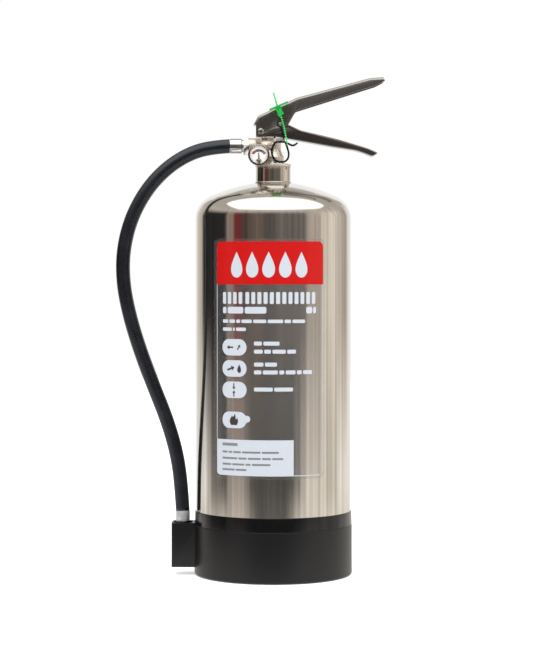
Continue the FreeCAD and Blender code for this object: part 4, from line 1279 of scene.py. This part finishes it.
    def walls(self) -> None:
        """An upright drum round the cylinder, unwrapped by azimuth and height."""
        reach, low, high, radius = self.wall_reach, self.wall_low, self.wall_high, self.wall_radius
        steps = 100
        angles = [math.radians(-reach + 2 * reach * step / steps) for step in range(steps + 1)]
        verts = [(radius * math.sin(a), -radius * math.cos(a), z) for z in (low, high) for a in angles]
        faces = [(i, i + 1, steps + 2 + i, steps + 1 + i) for i in range(steps)]
        data = bpy.data.meshes.new("room_walls")
        data.from_pydata(verts, [], faces)
        layer = data.uv_layers.new(name="UVMap")
        for loop in data.loops:
            place, row = loop.vertex_index % (steps + 1), loop.vertex_index // (steps + 1)
            layer.data[loop.index].uv = (place / steps, float(row))
        piece = bpy.data.objects.new("room_walls", data)
        bpy.context.scene.collection.objects.link(piece)
        data.materials.append(self.wall_paint())
        self.reflections_only(piece)

    def ramp(self, tree: bpy.types.NodeTree, where: bpy.types.NodeSocket,
             sights: tuple[Sight, ...]) -> bpy.types.NodeSocket:
        """Colours by azimuth.

        Args:
            tree: the material's nodes.
            where: nought at the left end of the wall and one at its right end.
            sights: what is seen, from left to right.

        Returns:
            The colour output.
        """
        node = add_node(tree, "ShaderNodeValToRGB", links={"Fac": where})
        elements = node.color_ramp.elements
        elements.remove(elements[1])
        elements[0].color = linear(sights[0].tone)
        for sight in sights:
            for azimuth in sorted({sight.start, sight.end} - {-self.wall_reach}):
                elements.new((azimuth + self.wall_reach) / (2 * self.wall_reach)).color = linear(sight.tone)
        return node.outputs["Color"]

    def wall_paint(self) -> bpy.types.Material:
        """What stands round the room, fading into what is lower down, the floor and the upper wall."""
        paint = bpy.data.materials.new("room_wall_paint")
        paint.use_nodes = True
        tree = paint.node_tree
        tree.nodes.clear()
        where = add_node(tree, "ShaderNodeTexCoord")
        parts = add_node(tree, "ShaderNodeSeparateXYZ", links={"Vector": where.outputs["UV"]})
        colour = self.ramp(tree, parts.outputs["X"], self.upper_sights)
        lower = self.ramp(tree, parts.outputs["X"], self.lower_sights)
        floor = self.ramp(tree, parts.outputs["X"], self.floor_sights)
        span = self.wall_high - self.wall_low
        fades = ((0.25, 0.01, lower), (-0.01, -0.05, floor), (0.60, 0.80, linear(self.upper_wall)))
        for start, end, beyond in fades:
            share = add_node(tree, "ShaderNodeMapRange", {"From Min": (start - self.wall_low) / span,
                                                          "From Max": (end - self.wall_low) / span},
                             {"Value": parts.outputs["Y"]})
            mix = add_node(tree, "ShaderNodeMix", {"data_type": "RGBA"},
                           {0: share.outputs["Result"], 6: colour})
            if isinstance(beyond, tuple):
                mix.inputs[7].default_value = beyond
            else:
                tree.links.new(beyond, mix.inputs[7])
            colour = mix.outputs[2]
        spread = add_node(tree, "ShaderNodeMapping", {"Scale": (75.0, 1.2, 1.0)},
                          {"Vector": where.outputs["UV"]})
        streaks = add_node(tree, "ShaderNodeTexNoise", {"Scale": 1.0, "Detail": 4.0},
                           {"Vector": spread.outputs["Vector"]})
        strength = add_node(tree, "ShaderNodeMapRange",
                            {"From Min": 0.3, "From Max": 0.7, "To Min": 0.7, "To Max": 1.3},
                            {"Value": streaks.outputs["Fac"]})
        glow = add_node(tree, "ShaderNodeEmission",
                        links={"Color": colour, "Strength": strength.outputs["Result"]})
        add_node(tree, "ShaderNodeOutputMaterial", links={"Surface": glow.outputs[0]})
        return paint

    def camera(self) -> None:
        """The camera, far back and low, with a long lens."""
        data = bpy.data.cameras.new("camera")
        data.lens = self.lens_mm
        data.sensor_width = 36.0
        camera = bpy.data.objects.new("camera", data)
        bpy.context.scene.collection.objects.link(camera)
        camera.location = self.camera_at
        camera.rotation_euler = (math.radians(90 - self.drop_degrees), 0, 0)
        bpy.context.scene.camera = camera


def main() -> None:
    """Build every sub-assembly in order."""
    logging.basicConfig(level=logging.INFO, format="%(name)s %(message)s")
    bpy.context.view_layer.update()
    Studio().build()
    Hose().build()
    Cylinder().build()
    Label().build()
    Base().build()
    Valve().build()
    Gauge().build()
    Handles().build()
    Pin().build()


if __name__ == "__main__":
    main()
